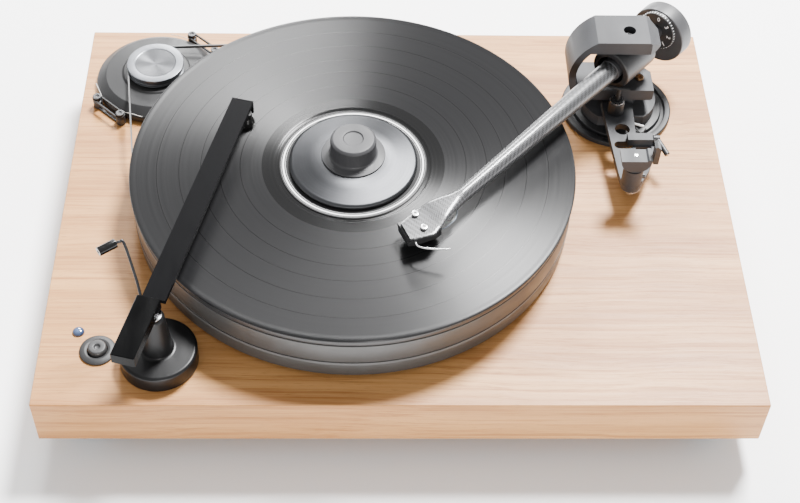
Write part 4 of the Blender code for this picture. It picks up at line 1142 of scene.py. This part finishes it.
def cartridgeMesh():
    # The body's side outline, with a seam cut along each flank.
    shape = cartridgeShape
    shell = upright(prism(shape["side"], -shape["halfWidth"], shape["halfWidth"]))
    return put(cutFrom(shell, [block(*seam) for seam in shape["seams"]]), cartridgeFrame)


piece("cartridgeBody", cartridgeMesh(), moulded, "arm", "cartridge_body",
      bevel=0.0004)
stylusShape = {"radius": 0.0004, "top": (0.0048, 0, -0.0129), "tipAlong": 0.0095,
               "drop": 0.00468, "taper": 0.45}
low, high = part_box("stylus")
stylusTip = (stylusShape["tipAlong"], 0, low.z - pivotAt.z - stylusShape["drop"])
needle = swept([stylusShape["top"], stylusTip], stylusShape["radius"], 16,
               lambda t: 1 - stylusShape["taper"] * t)
piece("stylus", put(needle, cartridgeFrame), steelFinish, "arm", "stylus")
headScrewShape = {"radius": 0.0023, "height": 0.0017, "aside": 0.00635, "low": 0.0015,
                  "tone": (0.92, 0.92, 0.92)}
for name, side in (("inner", -1), ("outer", 1)):
    screwHead = socketScrew(headScrewShape["radius"], headScrewShape["height"])
    offset = (0, side * headScrewShape["aside"], headScrewShape["low"])
    piece("headScrew" + name.title(), put(screwHead, cartridgeFrame @ Matrix.Translation(offset)),
          plainMetal("screw" + name, headScrewShape["tone"], 0.18), "arm",
          "cartridge_screw_" + name, "screws")
leadShape = {"radius": 0.00028, "gap": 0.0016, "pinAlong": -0.0134, "pinHeight": -0.0055,
             "tones": ((0.42, 0.40, 0.40), (0.60, 0.60, 0.58), (0.22, 0.25, 0.23),
                       (0.20, 0.23, 0.28))}
pinShape = {"corner": 0.0001, "steps": 16,
            "profile": [(0, -0.0014), (0.00045, -0.0014), (0.00045, 0.0006), (0, 0.0006)]}
for index, tone in enumerate(leadShape["tones"]):
    gap = leadShape["gap"]
    spread = (index - 1.5) * gap
    pinAt = cartridgeFrame @ Vector((leadShape["pinAlong"], spread * 1.6,
                                     leadShape["pinHeight"] - gap * (index % 2)))
    local = armFrame.inverted() @ pinAt
    ends = [local, local + Vector((-0.0022, 0.0012 + spread * 0.3, -0.0004)),
            Vector((0.2020, 0.0060 + spread * 0.5, -0.0064 + spread * 0.3)),
            Vector((0.1975, 0.0050 + spread * 0.4, -0.0056)),
            Vector((0.1930, 0.0018 + spread * 0.5, -0.0050))]
    lead = put(swept(smoothPath(ends, 6), leadShape["radius"], 8), armFrame)
    piece("lead%d" % index, lead, plastic("leadSleeve%d" % index, tone, 0.4), "arm",
          ["headshell_leads"] if index == 0 else (), "headshell_leads")
    pinFrame = Matrix.Translation(pinAt) @ cartridgeFrame.to_3x3().to_4x4()
    piece("pin%d" % index, put(lathed(pinShape, "X"), pinFrame), goldFinish, "arm",
          slot="headshell_leads")
fingerLiftShape = {"radius": 0.0006, "tone": (0.9, 0.9, 0.9),
                   "path": [(0.2325, 0.0008, -0.0021), (0.2365, 0.0058, -0.0021),
                            (0.2338, 0.0135, -0.0012), (0.2268, 0.0246, 0.0012)]}
hook = swept(smoothPath(fingerLiftShape["path"], 10), fingerLiftShape["radius"], 16)
piece("fingerLift", put(hook, armFrame), plainMetal("fingerSteel", fingerLiftShape["tone"], 0.2),
      "arm", "finger_lift")
tailStubShape = {"corner": 0.0006, "steps": 64,
                 "profile": [(0, -0.0600), (0.0050, -0.0600), (0.0050, -0.0143), (0, -0.0143)]}
piece("tailStub", put(lathed(tailStubShape, "X"), armFrame), midCoat, "arm", "tail_stub")

weightShape = {"front": -0.0428, "back": -0.0552, "radius": 0.0216, "drop": -0.0060,
               "bore": 0.0052, "corner": 0.0010, "steps": 160, "tone": (0.034, 0.034, 0.036)}


def weightMesh():
    # A disc hung below the stub's line, bored for the stub.
    shape = weightShape
    f, b, r, hole = shape["front"], shape["back"], shape["radius"], shape["bore"]
    outline = rounded([(0, f), (r, f), (r, b), (0, b)], shape["corner"], 4)
    disc = moved(turned(outline, shape["steps"], "X"), (0, 0, shape["drop"]))
    drill = turned([(0, b - 0.01), (hole, b - 0.01), (hole, f + 0.01), (0, f + 0.01)], 64, "X")
    return put(cutFrom(disc, [drill]), armFrame)


weightMetal = coated("weightCoat", weightShape["tone"], 0.44, specular=0.5)
piece("counterweight", weightMesh(), weightMetal, "weight", "counterweight")
weightDialShape = {"corner": 0.0002, "steps": 120,
                   "profile": [(0.0052, -0.0425), (0.0150, -0.0425), (0.0142, -0.0398),
                               (0.0052, -0.0398)]}
piece("weightDial", put(lathed(weightDialShape, "X"), armFrame), moulded, "dial", "weight_dial")

printed = plastic("printedWhite", (0.85, 0.85, 0.85), 0.5)


def scaleTree():
    # Short bars standing around a circle.
    tree, inputs, end, add = nodeTree("dialScale", {"Count": "Int", "Radius": "Float",
                                                    "Bar": "Vector", "Finish": "Material"})
    circle = add("MeshCircle", {"Vertices": inputs["Count"], "Radius": inputs["Radius"]}).outputs[0]
    points = add("MeshToPoints", {"Mesh": circle}).outputs[0]
    place = add("InputPosition").outputs[0]
    turn = add("FunctionNodeAlignRotationToVector", {"Vector": place}, axis="X").outputs[0]
    bar = add("MeshCube", {"Size": inputs["Bar"]}).outputs["Mesh"]
    bars = add("InstanceOnPoints", {"Points": points, "Instance": bar, "Rotation": turn}).outputs[0]
    real = add("RealizeInstances", {"Geometry": bars}).outputs[0]
    painted = add("SetMaterial", {"Geometry": real, "Material": inputs["Finish"]}).outputs[0]
    tree.links.new(painted, end.inputs[0])
    return tree


dialScale = {"count": 40, "radius": 0.01462, "bar": (0.00025, 0.00040, 0.0016), "along": -0.0412}
ticks = runTree(scaleTree(), {"Count": dialScale["count"], "Radius": dialScale["radius"],
                              "Bar": dialScale["bar"], "Finish": printed}, "ticks")
ticks.transform(armFrame @ Matrix.Translation((dialScale["along"], 0, 0))
                @ Matrix.Rotation(math.pi / 2, 4, "Y"))
piece("dialTicks", ticks, printed, "dial", slot="weight_dial")
numeralShape = {"count": 8, "size": 0.0046, "thickness": 0.00006, "along": -0.03975,
                "radius": 0.0106}


def numeralMesh(text, angle):
    # A printed figure that stands upright at its place on the dial.
    curve = bpy.data.curves.new("numeral", "FONT")
    curve.body, curve.size, curve.extrude = text, numeralShape["size"], numeralShape["thickness"]
    curve.align_x, curve.align_y = "CENTER", "CENTER"
    holder = bpy.data.objects.new("numeral", curve)
    bpy.context.scene.collection.objects.link(holder)
    bpy.context.view_layer.update()
    mesh = bpy.data.meshes.new_from_object(
        holder.evaluated_get(bpy.context.evaluated_depsgraph_get()))
    bpy.data.objects.remove(holder, do_unlink=True)
    up = Vector((0, math.cos(angle), math.sin(angle)))
    middlePoint = Vector((numeralShape["along"], 0, 0)) + up * numeralShape["radius"]
    mesh.transform(armFrame @ framed(middlePoint, up.cross(Vector((1, 0, 0))), up))
    return mesh


for index in range(numeralShape["count"]):
    numeral = numeralMesh(str(index % 4), math.radians(90 + index * 45))
    piece("numeral%d" % index, numeral, printed, "dial", slot="weight_dial")
print("tonearm ready")

sweeperDeck = Vector((sweeperAt.x, sweeperAt.y, deck))
sweeperBaseShape = {"corner": 0.0008, "steps": 160, "cornerSteps": 4,
                    "profile": [(0, air), (0.0250, air), (0.0250, 0.0120), (0.0236, 0.0131),
                                (0.0112, 0.0134), (0.0098, 0.0140), (0.0074, 0.0450),
                                (0.0062, 0.0466), (0, 0.0466)]}
baseBlack = coated("baseBlack", (0.0040, 0.0040, 0.0043), 0.34, strength=0.1, specular=0.22,
                   wear=0.05)
piece("sweeperBase", moved(lathed(sweeperBaseShape), sweeperDeck), baseBlack, "plinth_body",
      "sweeper_base")
sweeperPivotShape = {"corner": 0.0002, "steps": 96,
                     "profile": [(0, -0.0031), (0.0062, -0.0031), (0.0062, -0.0022),
                                 (0.0013, -0.0020), (0.0013, -0.0009), (0, -0.0007)]}
piece("sweeperPivot", put(lathed(sweeperPivotShape), sweeperFrame), steelFinish, "turret",
      "sweeper_pivot")
paint("sweeper_block", blackCoat, 0.0004)
armBlack = coated("armBlack", (0.0022, 0.0022, 0.0025), 0.40, strength=0.08, specular=0.02,
                  wear=0.05)
paint("sweeper_arm", armBlack, 0.0003)


brushCoreShape = {"corner": 0.0003, "steps": 48,
                  "profile": [(0, -0.0062), (0.0048, -0.0062), (0.0042, -0.0030),
                              (0.0034, -0.0010), (0.0034, 0.0032), (0, 0.0032)]}
brushShape = {"at": (0.1772, -0.0055, 0), "hairs": 420, "hairWidth": 0.00016, "rootRadius": 0.0034,
              "rootHeight": -0.0012, "tipRadius": 0.0066, "tipHeight": -0.0082, "uneven": 0.0005}


def brushMesh():
    # Ferrule and core, then a fringe of fine hairs fanned down to the record.
    shape, width = brushShape, brushShape["hairWidth"]
    hairs = bmesh.new()
    dice = random.Random(11)
    for k in range(shape["hairs"]):
        angle = dice.uniform(0, 2 * math.pi)
        spread = math.sqrt(dice.uniform(0.0, 1.0))
        outward = Vector((math.cos(angle), math.sin(angle), 0))
        top = outward * shape["rootRadius"] * spread + Vector((0, 0, shape["rootHeight"]))
        tipHeight = shape["tipHeight"] + dice.uniform(0, shape["uneven"])
        end = outward * shape["tipRadius"] * spread + Vector((0, 0, tipHeight))
        side = outward.cross(Vector((0, 0, 1))) * width
        ring = [hairs.verts.new(top + step) for step in (side, -side, outward * width)]
        point = hairs.verts.new(end)
        hairs.faces.new(ring)
        for i in range(3):
            hairs.faces.new((ring[i], ring[(i + 1) % 3], point))
    return put(merged(lathed(brushCoreShape), hairs),
               sweeperFrame @ Matrix.Translation(shape["at"]))


bristle = plastic("bristle", (0.004, 0.004, 0.004), 0.3, specular=0.3)
piece("sweeperBrush", brushMesh(), bristle, "beam", "sweeper_brush")
leverWireShape = {"radius": 0.0009, "tone": (0.05, 0.05, 0.052),
                  "path": [(0.0064, 0.0087, 0.0050), (0.0150, 0.0145, 0.0125),
                           (0.0290, 0.0255, 0.0240), (0.0290, 0.0282, 0.0250),
                           (0.0275, 0.0302, 0.0250)]}
wire = swept(smoothPath(leverWireShape["path"], 8), leverWireShape["radius"], 16)
piece("sweeperLever", put(wire, sweeperFrame), plainMetal("leverWire", leverWireShape["tone"], 0.3),
      "beam", "sweeper_lever")
sweeperGripShape = {"corner": 0.0004, "steps": 64,
                    "profile": [(0.0009, 0.0003), (0.0030, 0.0003), (0.0030, 0.0124),
                                (0.0010, 0.0124), (0.0009, 0.0118)]}
gripFrame = (sweeperFrame @ Matrix.Translation(leverWireShape["path"][-1])
             @ Matrix.Rotation(math.atan2(0.0075, -0.0092), 4, "Z"))
piece("sweeperGrip", put(lathed(sweeperGripShape, "X"), gripFrame), glossBlack, "beam",
      "sweeper_grip")
print("sweeper ready")

floorShape = {"half": 9, "tones": ((0.95, 0.95, 0.955), (0.97, 0.97, 0.97)), "roughness": 0.9}
stageLook = Look("paleFloor", Roughness=floorShape["roughness"])
stageLook.feed("Base Color", stageLook.mix(stageLook.noise(6, 2.0), *floorShape["tones"]))
half = floorShape["half"]
floorMesh = bpy.data.meshes.new("floor")
floorMesh.from_pydata([(-half, -half, 0), (half, -half, 0), (half, half, 0), (-half, half, 0)], [],
                      [(0, 1, 2, 3)])
floorMesh.materials.append(stageLook.material)
floor = bpy.data.objects.new("floor", floorMesh)
bpy.context.scene.collection.objects.link(floor)

lights = {
    "keyLight": {"position": (0.85, 1.35, 2.6), "target": (0, 0, 0.05), "size": 0.8, "power": 520},
    "backLight": {"position": (-0.30, 2.0, 1.25), "target": (0, 0, 0.05), "size": 0.6, "power": 75},
    "fillLight": {"position": (0.4, -2.6, 0.28), "target": (0, 0, 0.04), "size": 0.4, "power": 52,
                  "tone": (1.0, 0.98, 0.96)}}
roomLight = {"tone": (1.0, 1.0, 1.0, 1.0), "strength": 0.95}


def areaLight(name, position, target, size, power, tone=(1, 1, 1)):
    light = bpy.data.lights.new(name, "AREA")
    light.shape, light.size, light.energy, light.color = "DISK", size, power, tone
    item = bpy.data.objects.new(name, light)
    bpy.context.scene.collection.objects.link(item)
    item.location = position
    direction = Vector(target) - Vector(position)
    item.rotation_euler = direction.to_track_quat("-Z", "Y").to_euler()


for name, values in lights.items():
    areaLight(name, **values)
world = bpy.data.worlds.new("softRoom")
world.use_nodes = True
world.node_tree.nodes["Background"].inputs[0].default_value = roomLight["tone"]
world.node_tree.nodes["Background"].inputs[1].default_value = roomLight["strength"]
bpy.context.scene.world = world

view = {"yaw": 0.04251598, "pitch": 0.87022964, "roll": 0.03613488, "lens": 66.688,
        "offset": (-0.0274018, -0.6967717, 0.7709356)}
yaw, pitch, turn = view["yaw"], view["pitch"], view["roll"]
forward = Vector((math.sin(yaw) * math.cos(pitch), math.cos(yaw) * math.cos(pitch),
                  -math.sin(pitch)))
rightward = Vector((math.cos(yaw), -math.sin(yaw), 0))
upward = rightward.cross(forward)
cameraX = rightward * math.cos(turn) + upward * math.sin(turn)
cameraY = upward * math.cos(turn) - rightward * math.sin(turn)
cameraMatrix = Matrix((cameraX, cameraY, -forward)).transposed().to_4x4()
cameraMatrix.translation = Vector((middle.x, middle.y, deck)) + Vector(view["offset"])
cameraData = bpy.data.cameras.new("mainCamera")
cameraData.lens = view["lens"]
camera = bpy.data.objects.new("mainCamera", cameraData)
bpy.context.scene.collection.objects.link(camera)
camera.matrix_world = cameraMatrix
bpy.context.scene.camera = camera

print("scene ready")
